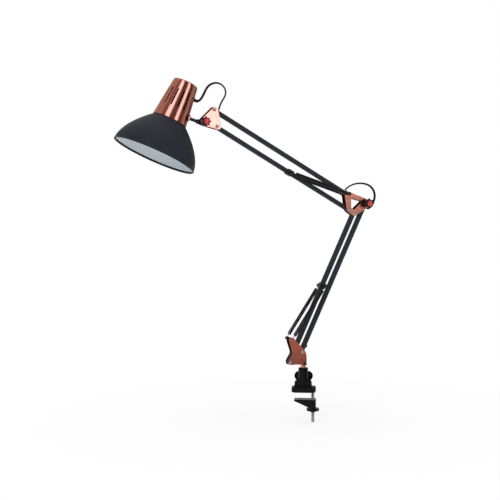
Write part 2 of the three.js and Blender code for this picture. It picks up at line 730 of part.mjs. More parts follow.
// ---------------------------------------------------------------- springs
// A spring along +Z from the eye at its origin to the eye at its other end. The coils are
// close wound, so their envelope is a plain cylinder.
function eye(pinRadius, z) {
  const ring = pinRadius + GAP + SPRING_WIRE;
  const torus = new THREE.TorusGeometry(ring, SPRING_WIRE, 5, 10);
  return solid(torus.rotateX(Math.PI / 2).translate(0, 0, z));
}
const eyeEdge = (pinRadius) => pinRadius + GAP + SPRING_WIRE;
const EYE_STEM = 8.5; // from an eye's middle to the first coil

function coils(from, to) {
  return bar('z', SPRING_RADIUS, from, to, [0, 0], 12);
}

function lowerSpring(length) {
  return joined(
    eye(SPRING_PIN_RADIUS, 0),
    bar('z', SPRING_WIRE, eyeEdge(SPRING_PIN_RADIUS), EYE_STEM + 1, [0, 0], 6),
    coils(EYE_STEM, length - EYE_STEM),
    bar('z', SPRING_WIRE, length - EYE_STEM - 1, length - eyeEdge(SPRING_PIN_RADIUS), [0, 0], 6),
    eye(SPRING_PIN_RADIUS, length),
  );
}

function upperSpring(length) {
  return joined(
    eye(BOLT_RADIUS, 0),
    bar('z', SPRING_WIRE, eyeEdge(BOLT_RADIUS), EYE_STEM + 1, [0, 0], 6),
    coils(EYE_STEM, length - EYE_STEM),
  );
}

function upperSpringEye(length) {
  const start = length - EYE_STEM + GAP;
  return joined(
    bar('z', SPRING_WIRE, start, length - eyeEdge(SPRING_PIN_RADIUS), [0, 0], 6),
    eye(SPRING_PIN_RADIUS, length),
  );
}

for (const [side, sign] of SIDES) {
  const y = sign * SPRING_OFFSET;
  const lower = groupAt(lamp, [leverTop.x, y, leverTop.y], leanOf(leverTop, lowerClip));
  add(lower, `lower_spring_${side}`, blackSteel, lowerSpring(leverTop.distanceTo(lowerClip)));
  const upper = groupAt(lamp, [elbowHigh.x, y, elbowHigh.y], leanOf(elbowHigh, upperClip));
  const span = elbowHigh.distanceTo(upperClip);
  add(upper, `upper_spring_${side}`, blackSteel, upperSpring(span));
  add(upper, `upper_spring_eye_${side}`, blackSteel, upperSpringEye(span));
}

// ---------------------------------------------------------------- knuckle and rod
// Local +X runs along the rod, away from the shade, with the knuckle's axis at the origin.
const knuckle = groupAt(lamp, [knuckleAt.x, 0, knuckleAt.y], ROD_LEAN);
const SOCKET_FLOOR = 3; // the rod stops this far from the stud's axis
const NECK_RADIUS = 4.4;
const NECK_END = 6.6;
const COLLAR_RADIUS = 4.3;
const COLLAR_LENGTH = 4.6;

function knuckleBlock() {
  const half = PLATE_INNER - GAP;
  return cut(
    joined(
      bar('y', KNUCKLE_RADIUS, -half, half, [0, 0], 16),
      bar('x', NECK_RADIUS, -NECK_END, 1, [0, -ROD_DROP]),
    ),
    bar('y', HOLE_RADIUS, -half - 1, half + 1),
    bar('x', ROD_RADIUS - 0.6 + GAP, -NECK_END - 1, -SOCKET_FLOOR, [0, -ROD_DROP]),
  );
}
add(knuckle, 'knuckle', blackPlastic, knuckleBlock());

function headRod() {
  const skin = -KNUCKLE_REACH;
  const collar = -NECK_END - GAP;
  const inside = skin - SHELL_WALL - 1.6;
  const profile = [
    [0, inside - 2.4],
    [4.6, inside - 2.4],
    [4.6, inside],
    [ROD_RADIUS, inside],
    [ROD_RADIUS, collar - COLLAR_LENGTH],
    [COLLAR_RADIUS, collar - COLLAR_LENGTH],
    [COLLAR_RADIUS, collar],
    [ROD_RADIUS - 0.6, collar],
    [ROD_RADIUS - 0.6, -SOCKET_FLOOR - GAP],
    [0, -SOCKET_FLOOR - GAP],
  ];
  return solid(turned(profile, 12).rotateZ(-Math.PI / 2));
}
add(knuckle, 'head_rod', blackSteel, headRod()).position.z = -ROD_DROP;

// ---------------------------------------------------------------- shade, cap and lampholder
// Local +Z runs up the shade's axis from the middle of its rim; local +X points at the rod.
const rodFoot = new THREE.Vector2(capRadius(CAP_BASE + ROD_ABOVE_BASE), CAP_BASE + ROD_ABOVE_BASE);
const [rodX, rodZ] = [Math.cos(CAP_TAPER), Math.sin(CAP_TAPER)];
const knuckleInHead = new THREE.Vector2(
  rodFoot.x + KNUCKLE_REACH * rodX - ROD_DROP * rodZ,
  rodFoot.y + KNUCKLE_REACH * rodZ + ROD_DROP * rodX,
);
const headTurn = radians(HEAD_LEAN);
const rimCentre = new THREE.Vector2(
  knuckleAt.x - knuckleInHead.x * Math.cos(headTurn) - knuckleInHead.y * Math.sin(headTurn),
  knuckleAt.y + knuckleInHead.x * Math.sin(headTurn) - knuckleInHead.y * Math.cos(headTurn),
);
const head = groupAt(lamp, [rimCentre.x, 0, rimCentre.y], headTurn);
const ROUND = 32;
const DOME_OPENING = CAP_BASE_RADIUS - 3.5;

// The dome's curve from one height to another, moved inwards square to itself by inset.
function domeArc(inset, from, to, count) {
  const points = [];
  for (let i = 0; i <= count; i += 1) {
    const height = from + ((to - from) * i) / count;
    const rise = height / DOME_PEAK;
    const radius = RIM_RADIUS * (1 - rise ** DOME_POWER);
    const slope = ((RIM_RADIUS * DOME_POWER) / DOME_PEAK) * rise ** (DOME_POWER - 1);
    const length = Math.hypot(1, slope);
    points.push([radius - inset / length, height - (inset * slope) / length]);
  }
  return points;
}

function dome() {
  const foot = RIM_BEAD + 1.9;
  const top = domeHeight(DOME_OPENING);
  const steps = 6;
  const bead = [];
  const beadAt = RIM_RADIUS - SHELL_WALL / 2;
  for (let i = 0; i <= 5; i += 1) {
    const turn = radians(50 - i * 56);
    bead.push([beadAt + RIM_BEAD * Math.cos(turn), RIM_BEAD * Math.sin(turn)]);
  }
  const outer = domeArc(0, top, foot, steps);
  const inner = domeArc(SHELL_WALL, foot, top, steps);
  return upright([...outer, ...bead, ...inner, outer[0]], ROUND);
}
add(head, 'shade_dome', slate, dome());

function capProfile(inset) {
  const top = CAP_BASE + CAP_HEIGHT - inset;
  const topRadius = capRadius(CAP_BASE + CAP_HEIGHT) - inset;
  return [
    [topRadius, top - CAP_EDGE],
    [topRadius - CAP_EDGE * 0.3, top - CAP_EDGE * 0.3],
    [topRadius - CAP_EDGE, top],
    [0, top],
  ];
}

function capCone(grow, from, to) {
  const [low, high] = [capRadius(from) + grow, capRadius(to) + grow];
  return upright([[0, from], [low, from], [high, to], [0, to]], ROUND);
}

function capShell() {
  const outer = upright(
    [[0, CAP_BASE], [CAP_BASE_RADIUS, CAP_BASE], ...capProfile(0)],
    ROUND,
  );
  const innerBase = CAP_BASE_RADIUS - SHELL_WALL;
  const inner = upright(
    [[0, CAP_BASE - 1], [innerBase, CAP_BASE - 1], ...capProfile(SHELL_WALL)],
    ROUND,
  );
  const slots = [];
  const slotBase = CAP_BASE + SLOT_ABOVE_BASE;
  for (let i = 1; i < SLOT_PITCHES; i += 1) {
    const ends = [SLOT_WIDTH / 2, SLOT_LENGTH - SLOT_WIDTH / 2].map((z) => new THREE.Vector2(0, z));
    const outline = beltOutline(ends.map((centre) => [centre, SLOT_WIDTH / 2]));
    const options = { depth: 16, bevelEnabled: false, curveSegments: 2 };
    const tool = new THREE.ExtrudeGeometry(outline, options);
    tool.rotateX(Math.PI / 2).rotateZ(Math.PI / 2).rotateY(-CAP_TAPER);
    tool.translate(capRadius(slotBase) - 8, 0, slotBase);
    tool.rotateZ((2 * Math.PI * i) / SLOT_PITCHES + radians(SLOT_TURN));
    slots.push(solid(tool));
  }
  return cut(outer, inner, ...slots, rodThrough(ROD_RADIUS + GAP), glandThrough(3.2 + GAP));
}

// Cylinders square to the cap's side, at the rod and at the cord's gland.
function squareToCap(above, radius, from, to, sides = 14) {
  const height = CAP_BASE + above;
  const geometry = new THREE.CylinderGeometry(radius, radius, to - from, sides);
  geometry.translate(0, (from + to) / 2, 0).rotateZ(-Math.PI / 2).rotateY(-CAP_TAPER);
  return solid(geometry.translate(capRadius(height), 0, height));
}
const rodThrough = (radius) => squareToCap(ROD_ABOVE_BASE, radius, -6, 6);
const glandThrough = (radius) => squareToCap(GLAND_ABOVE_BASE, radius, -4, 6);
add(head, 'shade_cap', copper, capShell());

function rodBoss() {
  const around = capCone(GAP, CAP_BASE, CAP_BASE + CAP_HEIGHT);
  const disc = squareToCap(ROD_ABOVE_BASE, 7, -1, 3);
  return cut(disc, around, squareToCap(ROD_ABOVE_BASE, ROD_RADIUS + GAP, -6, 6));
}
add(head, 'rod_boss', copper, rodBoss());

const holderTop = CAP_BASE + CAP_HEIGHT - SHELL_WALL - GAP;
const HOLDER_NECK = 8;
const holderShoulder = holderTop - HOLDER_NECK;
const holderMouth = holderShoulder - HOLDER_LENGTH;

function cordGland() {
  const around = capCone(GAP, CAP_BASE, CAP_BASE + CAP_HEIGHT);
  const flange = squareToCap(GLAND_ABOVE_BASE, 4.9, -1, 2.2);
  const nose = squareToCap(GLAND_ABOVE_BASE, 3.4, 1, 5.5);
  const tail = squareToCap(GLAND_ABOVE_BASE, 3.2, -4, 0.5);
  const holder = bar('z', HOLDER_RADIUS + GAP, holderMouth, holderTop, [0, 0], 24);
  return joined(cut(flange, around), nose, cut(tail, holder));
}
add(head, 'cord_gland', blackPlastic, cordGland());

function lampholder() {
  const lip = 1.2;
  return upright(
    [
      [0, holderTop],
      [7.5, holderTop],
      [7.5, holderShoulder + 1],
      [HOLDER_RADIUS - 4, holderShoulder],
      [HOLDER_RADIUS, holderShoulder - 5],
      [HOLDER_RADIUS, holderMouth + lip],
      [HOLDER_RADIUS - lip, holderMouth],
      [SOCKET_RADIUS, holderMouth],
      [SOCKET_RADIUS, holderMouth + SOCKET_DEPTH],
      [0, holderMouth + SOCKET_DEPTH],
    ],
    24,
  );
}
add(head, 'lampholder', blackPlastic, lampholder());

function screwShell() {
  const wall = 0.5;
  const outer = SOCKET_RADIUS - GAP;
  const turns = 3;
  const pitch = 7.2;
  const start = holderMouth + 5;
  const skin = [];
  for (let i = 0; i <= 2 * turns; i += 1) {
    skin.push([outer - (i % 2) * 0.9, start + (i * pitch) / 2]);
  }
  const lining = skin.map(([radius, z]) => [radius - wall, z]).reverse();
  return upright([...skin, ...lining, skin[0]], 16);
}
add(head, 'screw_shell', brass, screwShell());

const contactTop = holderMouth + SOCKET_DEPTH - GAP;
const contactFace = contactTop - 2.5;
const contact = upright([[0, contactFace], [3, contactFace], [4.5, contactTop], [0, contactTop]]);
add(head, 'centre_contact', brass, contact);

// ---------------------------------------------------------------- visible cord loops
// Each route is a list of XZ steps from the pivot that it passes, chosen by hand.
const ELBOW_LOOP = [
  [0.7, 7.2], [1.6, 8.7], [4.3, 11], [10.9, 15], [19, 17.9], [28, 19.3], [38, 19.1],
  [47.6, 16.8], [55.5, 12], [61, 5.2], [63.4, -3], [62.8, -11], [60, -18.6], [55.8, -24.8],
  [50.8, -28.4], [47.2, -28.7], [45.2, -27.8],
];
const HEAD_LOOP = [
  [11.1, 1.2], [12, 2.9], [12.9, 6.2], [14.4, 10.4], [16.9, 15], [20.1, 20.2], [23.2, 25.6],
  [24.8, 31.2], [23.9, 37.8], [20.8, 43], [15.6, 47.2], [8.8, 49.4], [1.6, 49], [-5, 46.4],
  [-10.4, 41.8], [-14.4, 36], [-17.3, 30.2], [-20.2, 24.9], [-23, 20.6], [-26, 17.3],
  [-29.2, 15.8], [-32.2, 15.7],
];

function cordLoop(origin, route) {
  const places = route.map(([x, z]) => new THREE.Vector3(origin.x + x, 0, origin.y + z));
  const curve = new THREE.CatmullRomCurve3(places);
  const steps = Math.round(curve.getLength() / (5 * CORD_RADIUS));
  const options = { steps: 2 * steps, extrudePath: curve, bevelEnabled: false };
  return solid(new THREE.ExtrudeGeometry(ringShape(CORD_RADIUS, 8), options));
}
add(lamp, 'elbow_cord_loop', cordBlack, cordLoop(elbowHigh, ELBOW_LOOP));
add(lamp, 'head_cord_loop', cordBlack, cordLoop(headHigh, HEAD_LOOP));

export default lamp;
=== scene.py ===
# %% [markdown]
# # An architect's desk lamp
# This lesson dresses a working model of a clamp-on desk lamp: two sprung arms, copper brackets,
# a dark dome under a slotted copper cap, and a cord that loops round each joint.
# The model's bodies and joints come from the imported frame, so every piece made here is placed
# from that frame's pivots, and most pieces ride on one of its bodies.

# %% Load the frame
import json
import math

import bmesh
import bpy
from mathutils import Matrix, Vector


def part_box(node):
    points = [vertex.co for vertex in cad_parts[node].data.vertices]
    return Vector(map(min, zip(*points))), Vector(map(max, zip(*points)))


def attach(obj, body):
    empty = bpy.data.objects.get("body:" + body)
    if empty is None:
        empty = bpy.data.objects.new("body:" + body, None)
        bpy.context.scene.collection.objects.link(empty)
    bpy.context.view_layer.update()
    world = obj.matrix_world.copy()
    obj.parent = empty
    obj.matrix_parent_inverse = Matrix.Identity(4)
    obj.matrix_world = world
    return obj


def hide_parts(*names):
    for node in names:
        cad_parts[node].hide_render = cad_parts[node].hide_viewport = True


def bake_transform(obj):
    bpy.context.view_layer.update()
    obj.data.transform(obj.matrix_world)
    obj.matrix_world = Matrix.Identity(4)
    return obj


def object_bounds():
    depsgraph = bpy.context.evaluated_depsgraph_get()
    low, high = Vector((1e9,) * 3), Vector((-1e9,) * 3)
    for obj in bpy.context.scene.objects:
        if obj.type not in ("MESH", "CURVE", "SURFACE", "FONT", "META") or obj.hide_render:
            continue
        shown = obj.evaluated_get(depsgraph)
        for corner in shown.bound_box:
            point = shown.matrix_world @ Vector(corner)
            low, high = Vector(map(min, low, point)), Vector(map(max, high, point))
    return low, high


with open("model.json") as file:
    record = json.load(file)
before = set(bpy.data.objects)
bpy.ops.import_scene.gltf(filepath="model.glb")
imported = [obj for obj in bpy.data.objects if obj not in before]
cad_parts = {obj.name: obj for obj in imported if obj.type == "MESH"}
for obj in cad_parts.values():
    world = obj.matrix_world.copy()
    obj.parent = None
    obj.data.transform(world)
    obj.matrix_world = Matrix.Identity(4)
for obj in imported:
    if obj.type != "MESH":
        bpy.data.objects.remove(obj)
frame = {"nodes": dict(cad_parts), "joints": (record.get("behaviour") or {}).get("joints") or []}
cad_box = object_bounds()

# %% [markdown]
# A swing arm is laid out from its pivots, so the first thing to read from the frame is where
# each hinge sits. The two pivots that a parallelogram leaves open have no joint of their own:
# they follow from the other three corners.

# %% Pivots of the arms
joints = {joint["name"]: joint for joint in frame["joints"]}


def pivot(name):
    return Vector(joints[name]["pos_m"])


base_front = pivot("lower_front_link")
base_rear = pivot("lower_arm")
elbow_rear = pivot("elbow_level")
elbow_front = base_front + (elbow_rear - base_rear)
elbow_low = pivot("upper_bottom_link")
elbow_high = pivot("upper_arm")
head_high = pivot("head_level")
head_low = elbow_low + (head_high - elbow_high)
knuckle_at = pivot("head_tilt")
lever_top = pivot("lower_spring_link")
print("arm length, mm:", round((elbow_rear - base_rear).length * 1000, 1))

# %% [markdown]
# Drawings are in millimetres, as in a workshop, and are scaled once when a piece is placed.
# Each tube, spring and turned part is easiest to draw upright at its own origin. `stand` gives
# the matrix that puts such a drawing in place, and `span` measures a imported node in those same
# upright axes, so a size can be read from the model in place of being typed again.

# %% Local axes
MM = 0.001


def lean_of(low, high):
    return math.atan2(high.x - low.x, high.z - low.z)


def stand(origin, lean=0.0):
    return Matrix.Translation(origin) @ Matrix.Rotation(lean, 4, "Y")


def up_from(place, height):
    """The place that lies a height in millimetres further up a drawing's own axis."""
    return place @ Matrix.Translation((0, 0, height * MM))


def span(node, place):
    """A node's lowest and highest corner in the axes of a place, in millimetres."""
    to_local = place.inverted()
    spots = [to_local @ vertex.co / MM for vertex in frame["nodes"][node].data.vertices]
    low = Vector(min(spot[i] for spot in spots) for i in range(3))
    high = Vector(max(spot[i] for spot in spots) for i in range(3))
    return low, high


def extent(node, axis):
    """A node's two ends along one axis of the lamp, in millimetres."""
    return [getattr(corner, axis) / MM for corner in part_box(node)]


def flat(point):
    return point.x / MM, point.z / MM


lower_lean = lean_of(base_rear, elbow_rear)
upper_lean = lean_of(elbow_high, head_high)
lower_rear = stand(base_rear, lower_lean)
lower_front = stand(base_front, lower_lean)
upper_top = stand(elbow_high, upper_lean)
upper_bottom = stand(elbow_low, upper_lean)
ARM_LENGTH = (elbow_rear - base_rear).length / MM
TUBE_SIZE = span("lower_front_tube", lower_front)[1].y * 2
PLATE_INNER, PLATE_OUTER = extent("head_plate_far", "y")
print("tube:", round(TUBE_SIZE, 2), "plates:", round(PLATE_INNER, 2), "to", round(PLATE_OUTER, 2))

# %% [markdown]
# ## Camera
# A long lens from a good distance keeps the arms' angles true. The camera stands a little to
# the left of the arms' plane and a little above the lamp's middle, and looks straight at it.

# %% Camera
CAMERA_TARGET = Vector((-0.1098, 0.0, 0.2743))
CAMERA_AZIMUTH = math.radians(-22.0)
CAMERA_ELEVATION = math.radians(3.5)
CAMERA_DISTANCE = 2.4


def in_scene(name, data):
    thing = bpy.data.objects.new(name, data)
    bpy.context.scene.collection.objects.link(thing)
    return thing


back = Vector((
    math.sin(CAMERA_AZIMUTH) * math.cos(CAMERA_ELEVATION),
    -math.cos(CAMERA_AZIMUTH) * math.cos(CAMERA_ELEVATION),
    math.sin(CAMERA_ELEVATION),
))
camera = in_scene("camera", bpy.data.cameras.new("camera"))
camera.data.sensor_width = 36
camera.data.lens = 92.4
camera.location = CAMERA_TARGET + back * CAMERA_DISTANCE
camera.rotation_euler = back.to_track_quat("Z", "Y").to_euler()
bpy.context.scene.camera = camera
print("camera at", tuple(round(x, 3) for x in camera.location))

# %% [markdown]
# ## Finishes
# Most of the lamp is metal or moulded plastic, and what tells one black part from another is
# the sheen and the grain, not the colour. Every finish here is the Principled shader with
# a noise that shifts its colour and its roughness a little and raises a fine bump.
# A painted image would need unwrapping; a noise in object space needs none and has no seams.
# The nodes are wired by one helper, whose inputs are numbers or other nodes' outputs.

# %% Wiring shader nodes
def wired(tree, node, *inputs, operation=None, **named):
    """Sets a node's sockets, in order or by name, to values or to other nodes' outputs."""
    if operation:
        node.operation = operation
    for socket, value in (*enumerate(inputs), *named.items()):
        target = node.inputs[socket.replace("_", " ") if isinstance(socket, str) else socket]
        if isinstance(value, bpy.types.NodeSocket):
            tree.links.new(value, target)
        else:
            target.default_value = value
    return node


def added(tree, kind, *inputs, **named):
    return wired(tree, tree.nodes.new("ShaderNode" + kind), *inputs, **named)


def new_material(name):
    material = bpy.data.materials.new(name)
    material.use_nodes = True
    return material, material.node_tree, material.node_tree.nodes["Principled BSDF"]


# %% [markdown]
# Noise rarely reaches its ends, so its middle part is stretched over the whole range between
# two colours or two roughnesses.

# %% A finish with colour, roughness and grain
NOISE_LOW, NOISE_HIGH = 0.3, 0.7
GRAIN_DEPTH = 0.0002


def noise(tree, scale, detail):
    place = added(tree, "TexCoord").outputs["Object"]
    return added(tree, "TexNoise", Vector=place, Scale=scale, Detail=detail).outputs["Fac"]


def spread(tree, value, low, high):
    ramp = added(tree, "MapRange", Value=value, From_Min=NOISE_LOW, From_Max=NOISE_HIGH,
                 To_Min=low, To_Max=high)
    return ramp.outputs["Result"]


def tinted(tree, value, dark, light):
    ramp = added(tree, "ValToRGB", Fac=value)
    for stop, position, colour in zip(
        ramp.color_ramp.elements, (NOISE_LOW, NOISE_HIGH), (dark, light)
    ):
        stop.position = position
        stop.color = (*colour, 1)
    return ramp.outputs["Color"]


def finish(name, dark, light, roughness, cloud, grain, bump, **sockets):
    """A material clouded between two colours, with a finer grain in its gloss and relief."""
    material, tree, shader = new_material(name)
    fine = noise(tree, grain, 2)
    relief = added(tree, "Bump", Strength=bump, Distance=GRAIN_DEPTH, Height=fine)
    wired(
        tree, shader, Base_Color=tinted(tree, noise(tree, cloud, 3), dark, light),
        Roughness=spread(tree, fine, *roughness), Normal=relief.outputs["Normal"], **sockets,
    )
    return material


# %% [markdown]
# The brackets and the cap are plated a rosy copper and polished, so nearly all of their look is
# reflection. The plates' inner faces and cut edges take a near-black, dull copper instead, which
# is painted shade. The tubes and the dome have a powder coat, dark slate with an eggshell sheen.

# %% Metal and paint
copper = finish(
    "polished_copper", (0.70, 0.27, 0.20), (0.77, 0.32, 0.235), (0.14, 0.19),
    cloud=25, grain=200, bump=0.006, Metallic=1.0,
)
# A near-black, dull copper: painted shade for the plates' inner faces and cut edges.
shade_painted_copper = finish(
    "copper_painted_shade", (0.030, 0.014, 0.011), (0.050, 0.024, 0.018), (0.4, 0.55),
    cloud=40, grain=500, bump=0.05, Metallic=0.7, Specular_IOR_Level=0.3,
)
slate = finish(
    "slate_powder_coat", (0.010, 0.0135, 0.020), (0.014, 0.0175, 0.025), (0.45, 0.58),
    cloud=20, grain=1400, bump=0.1, Specular_IOR_Level=0.22,
)
shade_white = finish(
    "inner_white_enamel", (0.58, 0.65, 0.68), (0.64, 0.71, 0.74), (0.42, 0.5),
    cloud=15, grain=1100, bump=0.06,
)
black_steel = finish(
    "blackened_steel", (0.014, 0.014, 0.016), (0.024, 0.024, 0.027), (0.22, 0.34),
    cloud=80, grain=900, bump=0.03, Metallic=0.5, Specular_IOR_Level=0.35,
)
spring_steel = finish(
    "dark_spring_wire", (0.028, 0.027, 0.029), (0.045, 0.043, 0.046), (0.18, 0.26),
    cloud=80, grain=900, bump=0.02, Metallic=1.0,
)
zinc = finish(
    "dull_zinc", (0.38, 0.35, 0.34), (0.48, 0.45, 0.44), (0.24, 0.36),
    cloud=90, grain=1000, bump=0.03, Metallic=1.0,
)
brass = finish(
    "plain_brass", (0.56, 0.40, 0.16), (0.64, 0.47, 0.2), (0.22, 0.34),
    cloud=70, grain=900, bump=0.03, Metallic=1.0,
)
print("made", [metal.name for metal in (copper, slate, black_steel, spring_steel, zinc, brass)])

# %% [markdown]
# The clamp is a glossy black casting, the knobs a slightly duller moulding, the knobs' centres
# a clear glossy red, and the cord a soft black sheath.

# %% Plastics and rubber
black_gloss = finish(
    "gloss_black_casting", (0.003, 0.003, 0.0035), (0.005, 0.005, 0.006), (0.12, 0.2),
    cloud=30, grain=350, bump=0.05, Specular_IOR_Level=0.1,
)
black_plastic = finish(
    "black_moulding", (0.004, 0.004, 0.005), (0.008, 0.008, 0.009), (0.24, 0.36),
    cloud=60, grain=1200, bump=0.06, Specular_IOR_Level=0.1,
)
red_plastic = finish(
    "red_moulding", (0.46, 0.016, 0.018), (0.56, 0.026, 0.026), (0.14, 0.22),
    cloud=90, grain=600, bump=0.01, Coat_Weight=0.6,
)
pad_rubber = finish(
    "grey_pad", (0.24, 0.25, 0.25), (0.30, 0.31, 0.31), (0.6, 0.75),
    cloud=120, grain=1500, bump=0.2,
)
cord_sheath = finish(
    "black_cord", (0.003, 0.003, 0.0035), (0.005, 0.005, 0.006), (0.4, 0.55),
    cloud=120, grain=1500, bump=0.06, Specular_IOR_Level=0.15,
)

# %% [markdown]
# ## Drawing tools
# Four kinds of drawing make nearly the whole lamp: a line eased at its corners, a shape turned
# on a lathe, a flat shape cut from sheet, and a section swept along a wire. Each returns an
# object in millimetres at the origin, so that two drawings can be fused or carved first.
# `placed` then scales the result, sets it on the lamp and says which body carries it.

# %% Lines eased at their corners
def eased(corners, closed=False, steps=4):
    """The line through (x, y) corners; a third number is the length eased at that corner."""
    points = []
    for i, corner in enumerate(corners):
        spot = Vector(corner[:2])
        ease = corner[2] if len(corner) > 2 else 0
        at_end = not closed and i in (0, len(corners) - 1)
        if not ease or at_end:
            points.append(tuple(spot))
            continue
        before = Vector(corners[i - 1][:2])
        after = Vector(corners[(i + 1) % len(corners)][:2])
        start = spot + (before - spot).normalized() * ease
        end = spot + (after - spot).normalized() * ease
        for k in range(steps + 1):
            t = k / steps
            points.append(tuple(start * (1 - t) ** 2 + spot * 2 * t * (1 - t) + end * t * t))
    return points


def ring(radius, centre=(0, 0), sides=32):
    turns = [math.tau * i / sides for i in range(sides)]
    return [(centre[0] + radius * math.cos(t), centre[1] + radius * math.sin(t)) for t in turns]


def belt(discs, steps=10):
    """The outline round discs (x, y, radius) given anticlockwise, as a belt round pulleys."""
    leave = []
    for (x0, y0, r0), (x1, y1, r1) in zip(discs, discs[1:] + discs[:1]):
        run = math.hypot(x1 - x0, y1 - y0)
        leave.append(math.atan2(y1 - y0, x1 - x0) - math.acos((r0 - r1) / run))
    points = []
    for i, (x, y, radius) in enumerate(discs):
        start, end = leave[i - 1], leave[i]
        while end < start:
            end += math.tau
        for k in range(steps + 1):
            angle = start + (end - start) * k / steps
            points.append((x + radius * math.cos(angle), y + radius * math.sin(angle)))
    return points


# %% [markdown]
# Lathe work, swept wire and lobed knobs are all rings of points with faces between them, so
# one helper builds them all. A modifier is baked as soon as it is set, so that the next step
# starts from a plain mesh.

# %% Meshes and objects in millimetres
def drawn(builder, name="drawing"):
    bmesh.ops.remove_doubles(builder, verts=builder.verts, dist=1e-4)
    bmesh.ops.recalc_face_normals(builder, faces=builder.faces)
    mesh = bpy.data.meshes.new(name)
    builder.to_mesh(mesh)
    builder.free()
    return in_scene(name, mesh)


def skin(builder, rings, wrap=True, flip=False):
    """Faces between neighbouring rings of points; equal points of a ring share a corner."""
    rows = []
    for points in rings:
        points = [tuple(point) for point in points]
        corner_at = {point: builder.verts.new(point) for point in dict.fromkeys(points)}
        rows.append([corner_at[point] for point in points])
    for low, high in zip(rows, rows[1:]):
        for i in range(len(low) if wrap else len(low) - 1):
            j = (i + 1) % len(low)
            corners = list(dict.fromkeys((low[i], low[j], high[j], high[i])))
            if len(corners) > 2:
                builder.faces.new(corners[::-1] if flip else corners)
    return rows


def solved(thing):
    """The mesh of an object after its modifiers, or of a filled curve."""
    bpy.context.view_layer.update()
    graph = bpy.context.evaluated_depsgraph_get()
    return bpy.data.meshes.new_from_object(thing.evaluated_get(graph))


def bake(thing):
    mesh = solved(thing)
    thing.modifiers.clear()
    thing.data = mesh
    return thing


def modified(thing, kind, **settings):
    change = thing.modifiers.new(kind, kind)
    for setting, value in settings.items():
        setattr(change, setting, value)


def joined(parts):
    with bpy.context.temp_override(
        active_object=parts[0], object=parts[0], selected_objects=parts,
        selected_editable_objects=parts,
    ):
        bpy.ops.object.join()
    return parts[0]


# %% [markdown]
# Booleans fuse parts into one piece and cut its holes. The exact solver is the slower one, but
# it copes with faces that nearly touch, as a washer's and a nut's do.

# %% Moving, fusing and carving
def moved(thing, matrix):
    thing.data.transform(matrix)
    return thing


def shift(x=0, y=0, z=0):
    return Matrix.Translation((x, y, z))


def turn(degrees, axis):
    return Matrix.Rotation(math.radians(degrees), 4, axis)


def combine(thing, others, operation):
    for other in others:
        modified(thing, "BOOLEAN", operation=operation, solver="EXACT", object=other)
        bake(thing)
        bpy.data.objects.remove(other)
    return thing


def fused(thing, *others):
    return combine(thing, others, "UNION")


def carved(thing, *others):
    return combine(thing, others, "DIFFERENCE")


TO_NEAR, TO_FAR, ALONG_X = turn(90, "X"), turn(-90, "X"), turn(90, "Y")


# %% [markdown]
# Sheet is drawn as a filled curve, because its bevel breaks the edges of the outline and of
# the holes at once. A pin and a block are there mostly to cut holes with.

# %% Turned, sheet and swept shapes
def turned(profile, sides=48):
    """A profile of (radius, height) points, turned about Z."""
    builder = bmesh.new()
    skin(builder, [[(x, y, height) for x, y in ring(radius, sides=sides)]
                   for radius, height in profile])
    return drawn(builder)


def lathe(points, sides=48, steps=4):
    """A solid turned about Z from an eased outline, whose ends run straight in to the axis."""
    ends = [(0, points[0][1]), *points, (0, points[-1][1])]
    return turned(eased(ends, steps=steps), sides)


def pin(radius, low, high, matrix=Matrix.Identity(4), sides=24):
    return moved(lathe([(radius, low), (radius, high)], sides), matrix)


def block(x, y, z):
    builder = bmesh.new()
    bmesh.ops.create_cube(builder, size=1)
    size = Vector((x[1] - x[0], y[1] - y[0], z[1] - z[0]))
    middle = Vector((x[0] + x[1], y[0] + y[1], z[0] + z[1])) / 2
    builder.transform(Matrix.Translation(middle) @ Matrix.Diagonal((*size, 1)))
    return drawn(builder)


def sheet_cut(outlines, thickness, edge, rounds=2):
    """Sheet or bar of a thickness along Z, centred on 0; the first outline is the outside."""
    drawing = bpy.data.curves.new("drawing", "CURVE")
    drawing.dimensions = "2D"
    drawing.fill_mode = "BOTH"
    for outline in outlines:
        spline = drawing.splines.new("POLY")
        spline.points.add(len(outline) - 1)
        for point, (x, y) in zip(spline.points, outline):
            point.co = (x, y, 0, 1)
        spline.use_cyclic_u = True
    drawing.extrude = thickness / 2 - edge
    drawing.bevel_depth = edge
    drawing.bevel_resolution = rounds
    drawing.offset = -edge
    filled = in_scene("drawing", drawing)
    builder = bmesh.new()
    builder.from_mesh(solved(filled))
    bpy.data.objects.remove(filled)
    return drawn(builder)


def swept(route, section, twist=(0.0, 0.0)):
    """A section of (across, sideways) points carried along a route, twisted in degrees."""
    builder = bmesh.new()
    beside = Vector((0, 1, 0))
    rings = []
    for i, spot in enumerate(route):
        before = route[max(i - 1, 0)]
        after = route[min(i + 1, len(route) - 1)]
        ahead = (after - before).normalized()
        beside = (beside - ahead * beside.dot(ahead)).normalized()
        across = beside.cross(ahead)
        angle = math.radians(twist[0] + (twist[1] - twist[0]) * i / (len(route) - 1))
        c, s = math.cos(angle), math.sin(angle)
        rings.append([
            spot + across * (x * c - y * s) + beside * (x * s + y * c) for x, y in section
        ])
    rows = skin(builder, rings)
    builder.faces.new(rows[0])
    builder.faces.new(rows[-1][::-1])
    return drawn(builder)


# %% [markdown]
# A flat face with rounded edges shades as if it were bent, because each corner's normal is
# shared with the edge beside it. Weighting the normals by area keeps the large faces flat, so
# a polished plate reflects evenly and only its edges catch the light.

# %% Setting a drawing on the lamp
def dressed(thing, name, material, sharp):
    thing.name = name
    thing.data.name = name
    thing.data.materials.clear()
    thing.data.materials.append(material)
    thing.data.shade_smooth()
    thing.data.set_sharp_from_angle(angle=math.radians(sharp))


